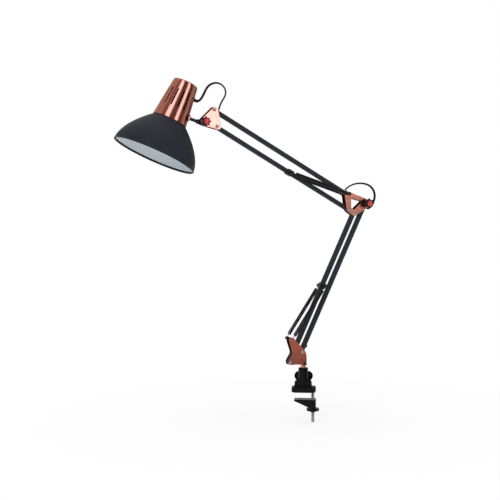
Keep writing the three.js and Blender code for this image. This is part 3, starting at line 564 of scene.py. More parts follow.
def placed(thing, node, where, body, material, sharp=32):
    """Sets a drawing in place of a node; where is the place of the drawing's own axes."""
    thing.data.transform(where @ Matrix.Scale(MM, 4))
    dressed(thing, node + "_look", material, sharp)
    modified(thing, "WEIGHTED_NORMAL", keep_sharp=True)
    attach(thing, body)
    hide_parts(node)
    return thing


# %% [markdown]
# ## The cord
# A swing-arm lamp's lead runs inside the tubes and leaves them at each joint in a free loop,
# so that the arm can fold without pulling on it. Each loop is a smooth curve through a few
# points. The lead is two-core flex with an oval section, and it turns over along the loop.

# %% Smooth routes
FLEX_WIDTH = 4.4
FLEX_THICKNESS = 3.0
ELBOW_ROUTE = (
    (0.7, 7.2), (1.6, 8.7), (4.3, 11), (10.9, 15), (19, 17.9), (28, 19.3), (38, 19.1),
    (47.6, 16.8), (55.5, 12), (61, 5.2), (63.4, -3), (62.8, -11), (60, -18.6), (55.8, -24.8),
    (50.8, -28.4), (47.2, -28.7), (45.2, -27.8),
)
HEAD_ROUTE = (
    (11.1, 1.2), (12, 2.9), (12.9, 6.2), (14.4, 10.4), (16.9, 15), (20.1, 20.2), (23.2, 25.6),
    (24.8, 31.2), (23.9, 37.8), (20.8, 43), (15.6, 47.2), (8.8, 49.4), (1.6, 49), (-5, 46.4),
    (-10.4, 41.8), (-14.4, 36), (-17.3, 30.2), (-20.2, 24.9), (-23, 20.6), (-26, 17.3),
    (-29.2, 15.8), (-32.2, 15.7),
)


def between(early, late, t, start, end):
    return early.lerp(late, (t - start) / (end - start))


def smooth_route(origin, steps, pieces=5):
    """A curve through points given as XZ steps in millimetres from an origin in metres."""
    spots = [Vector((origin.x / MM + x, 0, origin.z / MM + z)) for x, z in steps]
    ends = [spots[0] * 2 - spots[1]] + spots + [spots[-1] * 2 - spots[-2]]
    route = []
    for a, b, c, d in zip(ends, ends[1:], ends[2:], ends[3:]):
        k1 = math.sqrt((b - a).length)
        k2 = k1 + math.sqrt((c - b).length)
        k3 = k2 + math.sqrt((d - c).length)
        for k in range(pieces):
            t = k1 + (k2 - k1) * k / pieces
            first = between(a, b, t, 0, k1)
            second = between(b, c, t, k1, k2)
            third = between(c, d, t, k2, k3)
            early = between(first, second, t, 0, k2)
            late = between(second, third, t, k1, k3)
            route.append(between(early, late, t, k1, k2))
    return route + [spots[-1]]


def length_of(route):
    return sum((b - a).length for a, b in zip(route, route[1:]))


elbow_route = smooth_route(elbow_high, ELBOW_ROUTE)
head_route = smooth_route(head_high, HEAD_ROUTE)
print("elbow loop, mm:", round(length_of(elbow_route), 1))
print("head loop, mm:", round(length_of(head_route), 1))

# %% [markdown]
# A loop crosses joints, so it is made in lengths, each between two bodies or on one. Each is
# swept from the oval section along its points. A length on one body rides on it, and a length
# between two is baked in place and rides on neither. The head tilts furthest, so the crown of
# its loop is the longest length.

# %% Lengths of flex
OVAL = [
    (FLEX_WIDTH / 2 * math.cos(math.tau * i / 20), FLEX_THICKNESS / 2 * math.sin(math.tau * i / 20))
    for i in range(20)
]


def flex(name, route, twist, bodies, stands_for):
    """One length of flex, on one body or baked in place between two."""
    thing = moved(swept(route, OVAL, twist), Matrix.Scale(MM, 4))
    dressed(thing, name, cord_sheath, sharp=60)
    if len(bodies) == 2:
        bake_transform(thing)
    else:
        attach(thing, *bodies)
    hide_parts(stands_for)


def looped(names, route, cuts, twists, hops, stands_for):
    """A loop in lengths, cut at point numbers; hops are the two bodies of each length."""
    for name, start, end, twist, bodies in zip(names, cuts, cuts[1:], twists, hops):
        flex(name, route[start:end + 1], twist, bodies, stands_for)


looped(
    ("elbow_loop_top", "elbow_loop_side"), elbow_route, (0, 40, len(elbow_route) - 1),
    ((90, 50), (50, 10)),
    (("upper_top_tube", "elbow_bracket"), ("elbow_bracket", "lower_rear_tube")),
    "elbow_cord_loop",
)
looped(
    ("head_loop_rise", "head_loop_crown", "head_loop_fall"), head_route,
    (0, 33, 70, len(head_route) - 1),
    ((90, 76), (76, 35), (35, 0)),
    (("upper_top_tube", "head_bracket"), ("head_bracket", "knuckle"), ("knuckle", "head")),
    "head_cord_loop",
)

# %% [markdown]
# Inside a tube the flex lies along one wall, from where it goes in to where it comes out.

# %% Flex inside the tubes
RUN_PIECES = 20
for name, place, body in (
    ("cord_run_lower", lower_rear, "lower_rear_tube"),
    ("cord_run_upper", upper_top, "upper_top_tube"),
):
    low, high = span(name, place)
    heights = [low.z + (high.z - low.z) * i / RUN_PIECES for i in range(RUN_PIECES + 1)]
    run = [(place @ (Vector(((low.x + high.x) / 2, 0, z)) * MM)) / MM for z in heights]
    flex(name + "_look", run, (90, 90), (body,), name)

# %% [markdown]
# ## Studio
# The lamp stands in a plain white room. The room's own light is kept a little lower than the
# white that the camera sees, so that pale surfaces don't clip.

# %% World
ROOM_LEVEL = 0.75
world = bpy.data.worlds.new("studio")
world.use_nodes = True
bpy.context.scene.world = world
room = world.node_tree
rays = added(room, "LightPath").outputs
seen = added(room, "Math", rays["Is Camera Ray"], rays["Is Transmission Ray"], operation="MAXIMUM")
level = added(room, "MapRange", Value=seen.outputs["Value"], To_Min=ROOM_LEVEL, To_Max=1.0)
wired(room, room.nodes["Background"], Color=(1, 1, 1, 1), Strength=level.outputs["Result"])
print("world level:", ROOM_LEVEL, "and white to the camera")

# %% [markdown]
# The floor is a large pale sheet just under the lamp. Close by it keeps a soft shadow, and
# further out it fades into the white of the room, so that no edge shows.

# %% Floor
FLOOR_CLEARANCE = 0.0006
FLOOR_HALF = 12.0
FLOOR_GREY = (0.86, 0.86, 0.86)
FADE_FROM, FADE_TO = 0.15, 0.6
floor_height = Vector(cad_box[0]).z - FLOOR_CLEARANCE
floor_builder = bmesh.new()
floor_builder.faces.new([
    floor_builder.verts.new((x * FLOOR_HALF, y * FLOOR_HALF, floor_height))
    for x, y in ((-1, -1), (1, -1), (1, 1), (-1, 1))
])
floor = drawn(floor_builder, "floor")
floor_paint, tree, shader = new_material("pale_floor")
wired(tree, shader, Base_Color=(*FLOOR_GREY, 1), Roughness=0.9, Specular_IOR_Level=0.1)
glow = added(tree, "Emission", Strength=1.0)
to_camera = added(tree, "LightPath").outputs["Is Camera Ray"]
spot = added(tree, "TexCoord").outputs["Object"]
reach = added(tree, "VectorMath", spot, operation="LENGTH").outputs["Value"]
fade = added(tree, "MapRange", Value=reach, From_Min=FADE_FROM, From_Max=FADE_TO,
             To_Min=ROOM_LEVEL, To_Max=1.0)
share = added(tree, "Math", to_camera, fade.outputs["Result"], operation="MULTIPLY")
mix = added(tree, "MixShader", share.outputs["Value"], shader.outputs["BSDF"],
            glow.outputs["Emission"])
wired(tree, tree.nodes["Material Output"], Surface=mix.outputs["Shader"])
floor.data.materials.append(floor_paint)
print("floor at z, mm:", round(floor_height / MM, 1))

# %% [markdown]
# Three large lamps light the shapes softly. They are hidden from reflections, where they would
# show as hard squares.

# %% Lamps
def around(azimuth, height, distance):
    """A place round the lamp, by the angle from the camera's own direction."""
    angle = CAMERA_AZIMUTH + math.radians(azimuth)
    return Vector((
        CAMERA_TARGET.x + math.sin(angle) * distance,
        CAMERA_TARGET.y - math.cos(angle) * distance,
        height,
    ))


def soft_lamp(name, spot, width, height, power):
    lamp = in_scene(name, bpy.data.lights.new(name, "AREA"))
    lamp.data.shape = "RECTANGLE"
    lamp.data.size = width
    lamp.data.size_y = height
    lamp.data.energy = power
    lamp.location = spot
    lamp.rotation_euler = (spot - CAMERA_TARGET).to_track_quat("Z", "Y").to_euler()
    lamp.visible_glossy = False


soft_lamp("key_lamp", around(-20, 2.0, 2.2), 1.2, 1.2, 16)
soft_lamp("side_lamp", around(55, 1.0, 2.4), 1.0, 1.2, 8)
soft_lamp("top_lamp", Vector((CAMERA_TARGET.x, 0, 2.6)), 1.6, 1.6, 12)
bpy.context.scene.view_settings.view_transform = "Standard"
print("lamps aimed at", tuple(round(x, 2) for x in CAMERA_TARGET))

# %% [markdown]
# Polished copper shows what is around it, so it needs something to reflect. A ring of tall
# cards, some bright and some dark, gives the metal its bands. Only reflections can see them,
# so they change the gloss and not the light.

# %% Cards for reflections
PLAIN, PALE, BROWN = (1, 0.97, 0.94), (0.9, 1, 1.15), (1, 0.66, 0.56)
CARD_STEPS = 8
CARD_DISTANCE = 3.2


def card(name, angles, heights, shade, tint=PLAIN, distance=CARD_DISTANCE):
    """A curved upright card, from one angle to another, that only reflections can see."""
    sweep = [angles[0] + (angles[1] - angles[0]) * i / CARD_STEPS for i in range(CARD_STEPS + 1)]
    builder = bmesh.new()
    skin(builder, [[around(angle, z, distance) for angle in sweep] for z in heights], wrap=False)
    thing = drawn(builder, name)
    paint, tree, shader = new_material(name)
    wired(tree, shader, Base_Color=(0, 0, 0, 1), Specular_IOR_Level=0,
          Emission_Color=(*tint, 1), Emission_Strength=shade)
    thing.data.materials.append(paint)
    for ray in ("camera", "diffuse", "shadow", "transmission"):
        setattr(thing, "visible_" + ray, False)


card("left_card", (-150, -62), (-0.05, 4.5), 0.43)
card("left_front_card", (-62, -26), (-0.05, 6.0), 0.25, BROWN)
card("key_card", (-26, 3), (2.0, 4.6), 2.3, PALE)
card("middle_card", (3, 41), (1.0, 4.6), 0.13, BROWN)
card("side_card", (41, 58), (0.8, 2.2), 2.3, PALE)
card("plate_card", (28, 54), (0.5, 0.8), 3.4, PALE)
card("right_card", (58, 88), (-0.05, 4.5), 0.11, BROWN)
card("right_side_card", (88, 128), (-0.05, 4.5), 0.4)
card("right_back_card", (128, 172), (-0.05, 4.5), 0.24)
card("elbow_card", (28, 70), (0.1, 0.46), 0.44, (1, 0.86, 0.74))
card("low_card", (5, 90), (-0.055, 0.0), 0.18, BROWN, 0.55)
card("low_card_upper", (5, 90), (0.0, 0.1), 0.42, BROWN, 0.55)
print("tall cards stand at, m:", CARD_DISTANCE)

# %% [markdown]
# ## The four arm tubes
# An arm is two thin square tubes side by side. Each is cut to length, its cheeks are rounded
# about the two pivots, and it is drilled for its bolts, its spring pin or its cord. The tube
# is drawn as a solid bar with rounded ends, eased along its edges, and then bored out square.

# %% Square tube
TUBE_WALL = 1.0
TUBE_EDGE = 0.8
BOLT_RADIUS = 2.0
PIN_HOLE = 1.8
CORD_HOLE = 2.6


def arm_tube(name, place, cord_holes=(), pin_hole=None):
    half = TUBE_SIZE / 2
    bore = half - TUBE_WALL
    bar = sheet_cut([belt([(0, 0, half), (0, ARM_LENGTH, half)])], TUBE_SIZE, TUBE_EDGE)
    moved(bar, TO_NEAR)
    carved(bar, block((-bore, bore), (-bore, bore), (-TUBE_SIZE, ARM_LENGTH + TUBE_SIZE)))
    across = [(0, BOLT_RADIUS + 0.2), (ARM_LENGTH, BOLT_RADIUS + 0.2)]
    if pin_hole is not None:
        across.append((pin_hole, PIN_HOLE))
    for height, radius in across:
        carved(bar, pin(radius, -half - 1, half + 1, shift(z=height) @ TO_NEAR))
    for height in cord_holes:
        carved(bar, pin(CORD_HOLE, 0, half + 1, shift(z=height) @ ALONG_X))
    placed(bar, name, place, name, slate)


def middle_of(node, place):
    low, high = span(node, place)
    return (low.z + high.z) / 2


lower_clip_height = middle_of("lower_spring_clip", lower_front)
upper_clip_height = middle_of("upper_spring_clip", upper_bottom)
grommets = (
    ("supply_inlet", lower_rear, "lower_rear_tube", False),
    ("lower_cord_grommet", lower_rear, "lower_rear_tube", True),
    ("upper_entry_grommet", upper_top, "upper_top_tube", True),
    ("upper_exit_grommet", upper_top, "upper_top_tube", True),
)
openings = {"lower_rear_tube": [], "upper_top_tube": []}
for name, place, body, _ in grommets:
    openings[body].append(middle_of(name, place))
arm_tube("lower_rear_tube", lower_rear, openings["lower_rear_tube"])
arm_tube("lower_front_tube", lower_front, pin_hole=lower_clip_height)
arm_tube("upper_top_tube", upper_top, openings["upper_top_tube"])
arm_tube("upper_bottom_tube", upper_bottom, pin_hole=upper_clip_height)
print("tube wall, mm:", TUBE_WALL, "cord holes at", openings)

# %% [markdown]
# A bare hole in a steel tube would cut the cord, so each has a moulded grommet: a rounded
# flange on the wall and a short collar that holds the cord.

# %% Grommets
CORD_COLLAR = [(0, 0), (2.9, 0), (2.6, 2.6, 0.5), (2.1, 2.6, 0.3), (0, 1.6)]
INLET_COLLAR = [(0, 0), (2.2, 0), (2.0, 2.2, 0.5), (1.2, 2.2, 0.3), (0, 1.4)]
for name, place, body, has_cord in grommets:
    low, high = span(name, place)
    length, width = high.z - low.z, high.y - low.y
    back = TUBE_SIZE / 2
    lobe = length / 2 - width / 2
    outline = ring(width / 2)
    if lobe > 0.05:
        outline = belt([(0, -lobe, width / 2), (0, lobe, width / 2)])
    flange = sheet_cut([outline], high.x - back, 0.6)
    moved(flange, shift(back + (high.x - back) / 2) @ TO_NEAR @ ALONG_X)
    collar = turned(eased(CORD_COLLAR if has_cord else INLET_COLLAR), 32)
    plug = fused(flange, moved(collar, shift(back) @ ALONG_X))
    placed(plug, name, up_from(place, middle_of(name, place)), body, black_plastic)
print("grommets:", len(grommets))

# %% [markdown]
# Each pair of springs pulls on a pin through its tube. A steel collar spreads the pull over
# the thin wall, and a ball at each end of the pin keeps the springs' eyes from slipping off.

# %% Collars and cross pins
SPRING_OFFSET = sum(extent("lower_spring_far", "y")) / 2
PIN_BALL = 2.8
GROOVE = 0.25


def square(half, round_by):
    corners = [(-half, -half), (half, -half), (half, half), (-half, half)]
    return eased([(*corner, round_by) for corner in corners], closed=True, steps=5)


def cross_pin(radius, reach, ball=PIN_BALL):
    """A pin along Z with a ball at each end and a groove where each spring hooks on."""
    arc = [
        (ball * math.sin(math.radians(a)), reach - PIN_BALL * (1 - math.cos(math.radians(a))))
        for a in range(0, 141, 14)
    ]
    side = arc + [
        (radius, SPRING_OFFSET + 1.1), (radius - GROOVE, SPRING_OFFSET + 0.6),
        (radius - GROOVE, SPRING_OFFSET - 0.6), (radius, SPRING_OFFSET - 1.1),
    ]
    return moved(turned(side + [(r, -z) for r, z in reversed(side)], 32), TO_NEAR)


for name, place, body in (
    ("lower_spring", lower_front, "lower_front_tube"),
    ("upper_spring", upper_bottom, "upper_bottom_tube"),
):
    low, high = span(name + "_clip", place)
    spot = up_from(place, middle_of(name + "_clip", place))
    outlines = [square(high.x, 1.4), square(TUBE_SIZE / 2 + 0.1, 0.7)]
    placed(sheet_cut(outlines, high.z - low.z, 0.4), name + "_clip", spot, body, black_steel)
    reach = span(name + "_pin", place)[1].y
    placed(cross_pin(1.6, reach), name + "_pin", spot, body, black_steel)
elbow_pin = cross_pin(BOLT_RADIUS, extent("elbow_spring_pin", "y")[1], 4.0)
placed(elbow_pin, "elbow_spring_pin", stand(elbow_high, upper_lean), "elbow_bracket", black_steel)
print("springs run at y, mm:", round(SPRING_OFFSET, 2))

# %% [markdown]
# ## The balancing springs
# These are close-wound steel springs, each one long wire: an eye round a pin, a short stem,
# the coils, and an eye again. The wire's whole path is drawn and a round section is swept
# along it. The coils are left a hair apart so that their ribs show.

# %% The wire's path
WIRE = 0.7
COIL_RADIUS = 3.05
COIL_PITCH = 1.5
STEM = 8.5
SHORT_STEM = 4.4
EYE_RADIUS = 2.6
STEPS_PER_TURN = 14


def eye_path(slack=0.0):
    """From the open end of a wire round the pin at the origin to the stem above it."""
    path = []
    for a in range(118, 451, 15):
        angle = math.radians(a)
        x, z = EYE_RADIUS * math.cos(angle), EYE_RADIUS * math.sin(angle)
        path.append(Vector((x, 0, z - slack if z < 0 else z)))
    return path + [Vector((0.25, 0, EYE_RADIUS + 0.9))]


def stem_curve(stem):
    return [Vector((0, y, stem - drop)) for y, drop in ((0.4, 2.4), (1.5, 1.1), (2.6, 0.3))]


def coil_path(start, end):
    turns = max(round((end - start) / COIL_PITCH), 1)
    rise = (end - start) / turns
    path = []
    for i in range(turns * STEPS_PER_TURN + 1):
        angle = math.tau * i / STEPS_PER_TURN
        x, y = COIL_RADIUS * math.sin(angle), COIL_RADIUS * math.cos(angle)
        path.append(Vector((x, y, start + rise * i / STEPS_PER_TURN)))
    return path


def flipped(path, length):
    return [Vector((-p.x, p.y, length - p.z)) for p in reversed(path)]


def spring(length, stem=STEM, far_slack=0.0):
    start = eye_path() + stem_curve(stem)
    end = eye_path(far_slack) + stem_curve(STEM)
    path = start + coil_path(stem, length - STEM) + flipped(end, length)
    return swept(path, ring(WIRE, sides=8))


lower_anchor = up_from(lower_front, lower_clip_height).translation
upper_anchor = up_from(upper_bottom, upper_clip_height).translation
lower_spring_length = (lower_anchor - lever_top).length / MM
upper_spring_length = (upper_anchor - elbow_high).length / MM
print("springs, mm:", round(lower_spring_length, 1), round(upper_spring_length, 1))

# %% [markdown]
# The lower springs swing with their own body, and their far eyes are a little long, to give
# the pin some slack. The upper springs are drawn from the elbow's pin to the pin on the tube and
# baked in place, on no body. The upper springs stretch: one end follows the elbow's pin and the
# other
# the pin on the tube, and the coils open between them.

# %% Springs
SIDES = (("near", -1), ("far", 1))
LOOP_SLACK = 2.0
lower_spring_lean = lean_of(lever_top, lower_anchor)
for side, sign in SIDES:
    offset = Vector((0, sign * SPRING_OFFSET * MM, 0))
    wire = spring(lower_spring_length, far_slack=LOOP_SLACK)
    placed(wire, "lower_spring_" + side, stand(lever_top + offset, lower_spring_lean),
           "lower_springs", spring_steel, sharp=60)
    name = "upper_spring_" + side
    wire = moved(spring(upper_spring_length, SHORT_STEM), Matrix.Scale(MM, 4))
    dressed(wire, name + "_look", spring_steel, sharp=60)
    wire.matrix_world = stand(elbow_high + offset, lean_of(elbow_high, upper_anchor))
    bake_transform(wire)
    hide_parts(name, "upper_spring_eye_" + side)
print("coils on a lower spring:", round((lower_spring_length - 2 * STEM) / COIL_PITCH))

# %% [markdown]
# ## Brackets
# Each joint of the lamp is a pair of copper-plated plates with the tubes between them. They are
# stamped from 2 mm sheet, so each is drawn as an outline with round holes, and its edges are
# barely broken. Only their outer faces are polished copper; their inner faces and cut edges are
# painted near-black, as shade. The base plates rise into a lever that holds the lower springs.

# %% Plates from sheet
PLATE_MIDDLE = (PLATE_INNER + PLATE_OUTER) / 2
PLATE_THICKNESS = PLATE_OUTER - PLATE_INNER
PLATE_EDGE = 0.35
SHADE_PAINTED_BELOW = 0.35
BORE_GAP = 0.25


def plates(joint, outlines):
    for side, sign in SIDES:
        thing = sheet_cut(outlines, PLATE_THICKNESS, PLATE_EDGE)
        moved(thing, shift(y=sign * PLATE_MIDDLE) @ TO_NEAR)
        placed(thing, f"{joint}_plate_{side}", Matrix.Identity(4), joint + "_bracket", copper)
        # Faces that don't face outwards, the inner face and the cut edges, take the near-black
        # copper: painted shade.
        thing.data.materials.append(shade_painted_copper)
        for face in thing.data.polygons:
            face.material_index = 0 if face.normal.y * sign > SHADE_PAINTED_BELOW else 1


def disc(at, radius, beside=0):
    x, z = flat(at)
    return x + beside, z, radius


def hole_at(at, radius=BOLT_RADIUS + BORE_GAP):
    return ring(radius, flat(at), 28)


def about(at, *steps):
    """Corners given as (x, z, ease) steps from one pivot."""
    x, z = flat(at)
    return [(x + right, z + up, ease) for right, up, ease in steps]


tab_bottom = extent("base_plate_near", "z")[0]
rivet_at = sum(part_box("post_rivet"), Vector()) / 2
rivet_at.y = 0
base_outline = eased([
    *about(lever_top, (-3.2, -5, 2.5)),
    *about(base_front, (5.2, 18, 4), (-4.2, 3, 3.5), (-2.4, -4.8, 3)),
    (-6.6, flat(base_rear)[1] - 24, 1.5), (-5.6, tab_bottom, 0.8), (4.4, tab_bottom, 0.8),
    *about(base_rear, (8.4, -6, 3), (5, 2.5, 3), (-4.5, 12, 6)),
    *about(lever_top, (5, 2, 3), (-3.4, 4, 2.5)),
], closed=True, steps=8)
base_holes = [hole_at(base_front), hole_at(base_rear), hole_at(lever_top, 1.8)]
plates("base", [base_outline, *base_holes, hole_at(rivet_at, 2.2)])

elbow_outline = belt([
    disc(elbow_high, 5), disc(elbow_low, 5.2), disc(elbow_front, 5), disc(elbow_rear, 8),
])
elbow_window = eased([
    *about(elbow_high, (9.2, -9.0, 1.4)), *about(elbow_low, (4.4, 2.6, 1.4)),
    *about(elbow_front, (-0.8, 7.4, 1.4)), *about(elbow_rear, (-8.6, 3.4, 1.4)),
], closed=True, steps=6)
elbow_holes = [hole_at(at) for at in (elbow_high, elbow_low, elbow_front, elbow_rear)]
plates("elbow", [elbow_outline, elbow_window, *elbow_holes])

head_outline = belt([disc(knuckle_at, 6.4), disc(head_low, 5.8, 2.6), disc(head_high, 5.6, 1.6)])
plates("head", [head_outline, hole_at(head_high), hole_at(head_low), hole_at(knuckle_at)])
print("plates of", round(PLATE_THICKNESS, 2), "mm")

# %% [markdown]
# A plain bolt holds each fixed pivot. Its near end is a low round head with a socket for
# a key, over a thin washer, and its far end a hexagonal nut. The rivet that joins the plates
# to the post has two low domes.

# %% Bolts and rivet
HEAD_RADIUS = 3.4
HEAD_BACK = PLATE_OUTER + 0.05
HEAD_FRONT = extent("head_low_bolt", "y")[1]


def hexagon(across_flats, low, high, edge):
    shape = sheet_cut([ring(across_flats / math.sqrt(3), sides=6)], high - low, edge)
    return moved(shape, shift(z=(low + high) / 2))


def socket_head(radius, back, front, socket=2.4):
    """A low round head along Z with a hexagonal socket in its face."""
    head = lathe([
        (radius, back), (radius, back + 0.55, 0.12), (radius - 0.35, back + 0.6, 0.1),
        (radius - 0.45, back + 1.3, 0.5), (radius - 1.5, front, 0.6),
    ], 40)
    return carved(head, hexagon(socket, front - 1.2, front + 1, 0.05))


def shank(low, high, chamfer_height):
    return lathe([
        (BOLT_RADIUS, low), (BOLT_RADIUS, high - chamfer_height), (BOLT_RADIUS - 0.4, high),
    ], 24)


def bolt(name, at, body):
    near = moved(socket_head(HEAD_RADIUS, HEAD_BACK, HEAD_FRONT), turn(180, "X"))
    washer = lathe([(HEAD_RADIUS, HEAD_BACK, 0.1), (HEAD_RADIUS, HEAD_BACK + 0.5, 0.15)], 32)
    nut = hexagon(5.6, HEAD_BACK + 0.4, HEAD_FRONT - 0.3, 0.25)
    whole = fused(shank(-HEAD_BACK - 1, HEAD_FRONT, 0.4), near, washer, nut)
    placed(moved(whole, TO_FAR), name, stand(at), body, zinc, sharp=28)


for name, at in (
    ("base_front", base_front), ("base_rear", base_rear), ("elbow_front", elbow_front),
    ("elbow_low", elbow_low), ("head_low", head_low), ("head_high", head_high),
):
    bolt(name + "_bolt", at, name.split("_")[0] + "_bracket")

half_rivet = eased([
    (0, HEAD_FRONT - 0.2), (2.0, HEAD_FRONT - 0.35, 0.8), (2.9, HEAD_BACK + 0.9, 0.5),
    (2.9, HEAD_BACK, 0.1), (2.0, HEAD_BACK),
])
rivet = moved(turned(half_rivet + [(r, -z) for r, z in reversed(half_rivet)], 32), TO_NEAR)
placed(rivet, "post_rivet", stand(rivet_at), "base_bracket", black_steel)
print("bolt heads stand out to y, mm:", round(HEAD_FRONT, 2))

# %% [markdown]
# Each lower spring hooks on a short spool riveted into its base plate: a flange on the plate,
# a neck for the wire and a wider end. The near one is copper-plated like the plate.

# %% Spools for the lower springs
SPOOL_RADIUS = 1.6
spool_end = extent("spring_hook_far", "y")[1]
for (side, sign), end_radius, material in zip(SIDES, (3.2, 2.1), (copper, black_steel)):
    spool = lathe([
        (SPOOL_RADIUS, PLATE_INNER), (SPOOL_RADIUS, PLATE_OUTER), (2.8, PLATE_OUTER, 0.1),
        (2.8, PLATE_OUTER + 1.4, 0.5), (SPOOL_RADIUS, PLATE_OUTER + 1.8, 0.4),
        (1.5, SPRING_OFFSET), (SPOOL_RADIUS, spool_end - 1.6, 0.3),
        (end_radius, spool_end - 1.2, 0.4), (end_radius, spool_end, 0.5),
    ], 32)
    moved(spool, turn(-90 * sign, "X"))
    placed(spool, "spring_hook_" + side, stand(lever_top), "base_bracket", material)
print("spools reach y, mm:", round(spool_end, 2))

# %% [markdown]
# ## Clamping knobs
# A knob at the elbow and one at the head set how stiffly those joints move. Each is a moulded
# star on a round hub with a red dome pressed into its middle. The star's radius is drawn as
# a wave, so that it has eight pointed lobes, and its front and back edges are rolled over.

# %% Star, hub and stud
KNOB_RADIUS = 9.6
KNOB_LOBES = 8
KNOB_DEPTH = 2.6
HUB_RADIUS = 6.8
CAP_SEAT = 0.8


def waved(levels, wave, sides):
    """A solid along Z through (radius, height) levels, less a wave(share of turn, height)."""
    rings = []
    for radius, z in levels:
        reach = [radius - wave(i / sides, z) for i in range(sides)]
        turns = [math.tau * i / sides for i in range(sides)]
        rings.append([(r * math.cos(a), r * math.sin(a), z) for r, a in zip(reach, turns)])
    builder = bmesh.new()
    rows = skin(builder, rings)
    builder.faces.new(rows[0])
    builder.faces.new(rows[-1])
    return drawn(builder)


def star(radius, lobes, depth, low, high, roll, point):
    """A star along Z; its valleys lie depth below its points, which are sharper below 1."""
    rolls = [(roll * (1 - math.sin(a)), roll * (1 - math.cos(a)))
             for a in (0, math.pi / 6, math.pi / 3, math.pi / 2)]
    levels = [(radius - inset, low + rise) for inset, rise in rolls]
    levels += [(radius - inset, high - rise) for inset, rise in reversed(rolls)]
    return waved(
        levels, lambda share, z: depth * abs(math.sin(lobes * math.pi * share)) ** point, 128)


def knob(joint, at):
    near, far = [-y for y in extent(joint + "_knob", "y")]
    star_back = far + 6.5
    grip = star(KNOB_RADIUS, KNOB_LOBES, KNOB_DEPTH, star_back, near, 0.8, 0.8)
    hub = lathe([
        (HUB_RADIUS - 0.6, far), (HUB_RADIUS, far + 0.6), (HUB_RADIUS, far + 3, 0.3),
        (HUB_RADIUS - 0.7, far + 3.4, 0.3), (HUB_RADIUS - 0.9, star_back + 0.5),
    ])
    carved(fused(grip, hub), pin(5.8, near - CAP_SEAT - 0.1, near + 1))
    placed(moved(grip, TO_NEAR), joint + "_knob", stand(at), joint + "_knob", black_plastic,
           sharp=40)
    cap_front = -extent(joint + "_knob_cap", "y")[0]
    dome = lathe([
        (5.4, near - CAP_SEAT), (5.4, near + 0.7, 0.4), (4.9, near + 1.5, 0.5),
        (3.8, cap_front - 0.7, 1.2), (1.8, cap_front, 1.6),
    ], steps=6)
    placed(moved(dome, TO_NEAR), joint + "_knob_cap", stand(at), joint + "_knob", red_plastic,
           sharp=50)
    nut_front = extent(joint + "_stud", "y")[1]
    nut = hexagon(7.0, HEAD_BACK + 0.5, nut_front - 0.4, 0.3)
    washer = lathe([(4.2, HEAD_BACK, 0.1), (4.2, HEAD_BACK + 0.6, 0.2)], 40)
    stud = fused(shank(-near + 3, nut_front, 0.6), nut, washer)
    placed(moved(stud, TO_FAR), joint + "_stud", stand(at), joint + "_bracket", zinc, sharp=28)


knob("elbow", elbow_rear)
knob("head", knuckle_at)
print("knobs with", KNOB_LOBES, "lobes")

# %% [markdown]
# ## Post
# The base plates stand on a steel post that turns in the clamp. Between the plates the post is
# milled flat on both sides, and the rivet goes through the flats.

# %% Post
FLAT_GAP = 0.3
POST_RADIUS = extent("swivel_post", "x")[1]
post_low, post_high = extent("swivel_post", "z")
post = lathe([
    (POST_RADIUS - 1, post_low), (POST_RADIUS, post_low + 1),
    (POST_RADIUS, post_high - 1.2, 0.2), (POST_RADIUS - 1.2, post_high, 0.2),
], 64)
post_flat = PLATE_INNER - FLAT_GAP
milled = (tab_bottom - FLAT_GAP, post_high + 1)
carved(post, block((-9, 9), (post_flat, 9), milled), block((-9, 9), (-9, -post_flat), milled))
placed(post, "swivel_post", Matrix.Identity(4), "base_bracket", copper)
print("post from", round(post_low, 1), "to", round(post_high, 1), "mm")

# %% [markdown]
# ## Clamp
# The clamp is turned about the post, so it is drawn in axes of its own. They come from the
# lock screw's joint, which says how far round the clamp stands.

# %% The clamp's own axes
lock_axis = Vector(joints["lock_screw_turn"]["axis"])
clamp_turn = math.atan2(-lock_axis.x, lock_axis.y)
clamp = Matrix.Rotation(clamp_turn, 4, "Z")
lock_place = shift(z=joints["lock_screw_turn"]["pos_m"][2] / MM) @ TO_FAR
SCREW_AT = (clamp.inverted() @ pivot("clamp_wheel_turn")).x / MM
SCREW_RADIUS = 3.0
print("clamp turned by", round(math.degrees(clamp_turn), 1), "degrees")

# %% [markdown]
# The clamp's upper half is a die casting: a foot for the table top, a column bored for the
# post, and webs between them. Castings have no sharp corners, so the parts of this one are
# fused by remeshing them together at a fine pitch and smoothing the result a little, which
# leaves a soft fillet where they meet. The bores are machined afterwards, so they stay crisp.

# %% Casting
COLUMN_RADIUS = 9.3
FOOT_HEIGHT = 10.0
FOOT_HALF_WIDTH = 16.0
WEB_LEFT = ((-17, 8, 0.5), (-16.2, 20.5, 2), (-8.3, 26, 2))
WEB_RIGHT = [(-x, z, ease) for x, z, ease in reversed(WEB_LEFT)]


def cast(parts, pitch=0.55, passes=6):
    whole = joined(parts)
    modified(whole, "REMESH", mode="VOXEL", voxel_size=pitch)
    modified(whole, "SMOOTH", factor=0.5, iterations=passes)
    return bake(whole)


def slab(low, high, round_by, steps=4):
    """A rectangle's outline from its lowest to its highest corner, with eased corners."""
    corners = ((low.x, low.y), (high.x, low.y), (high.x, high.y), (low.x, high.y))
    return eased([(*corner, round_by) for corner in corners], closed=True, steps=steps)


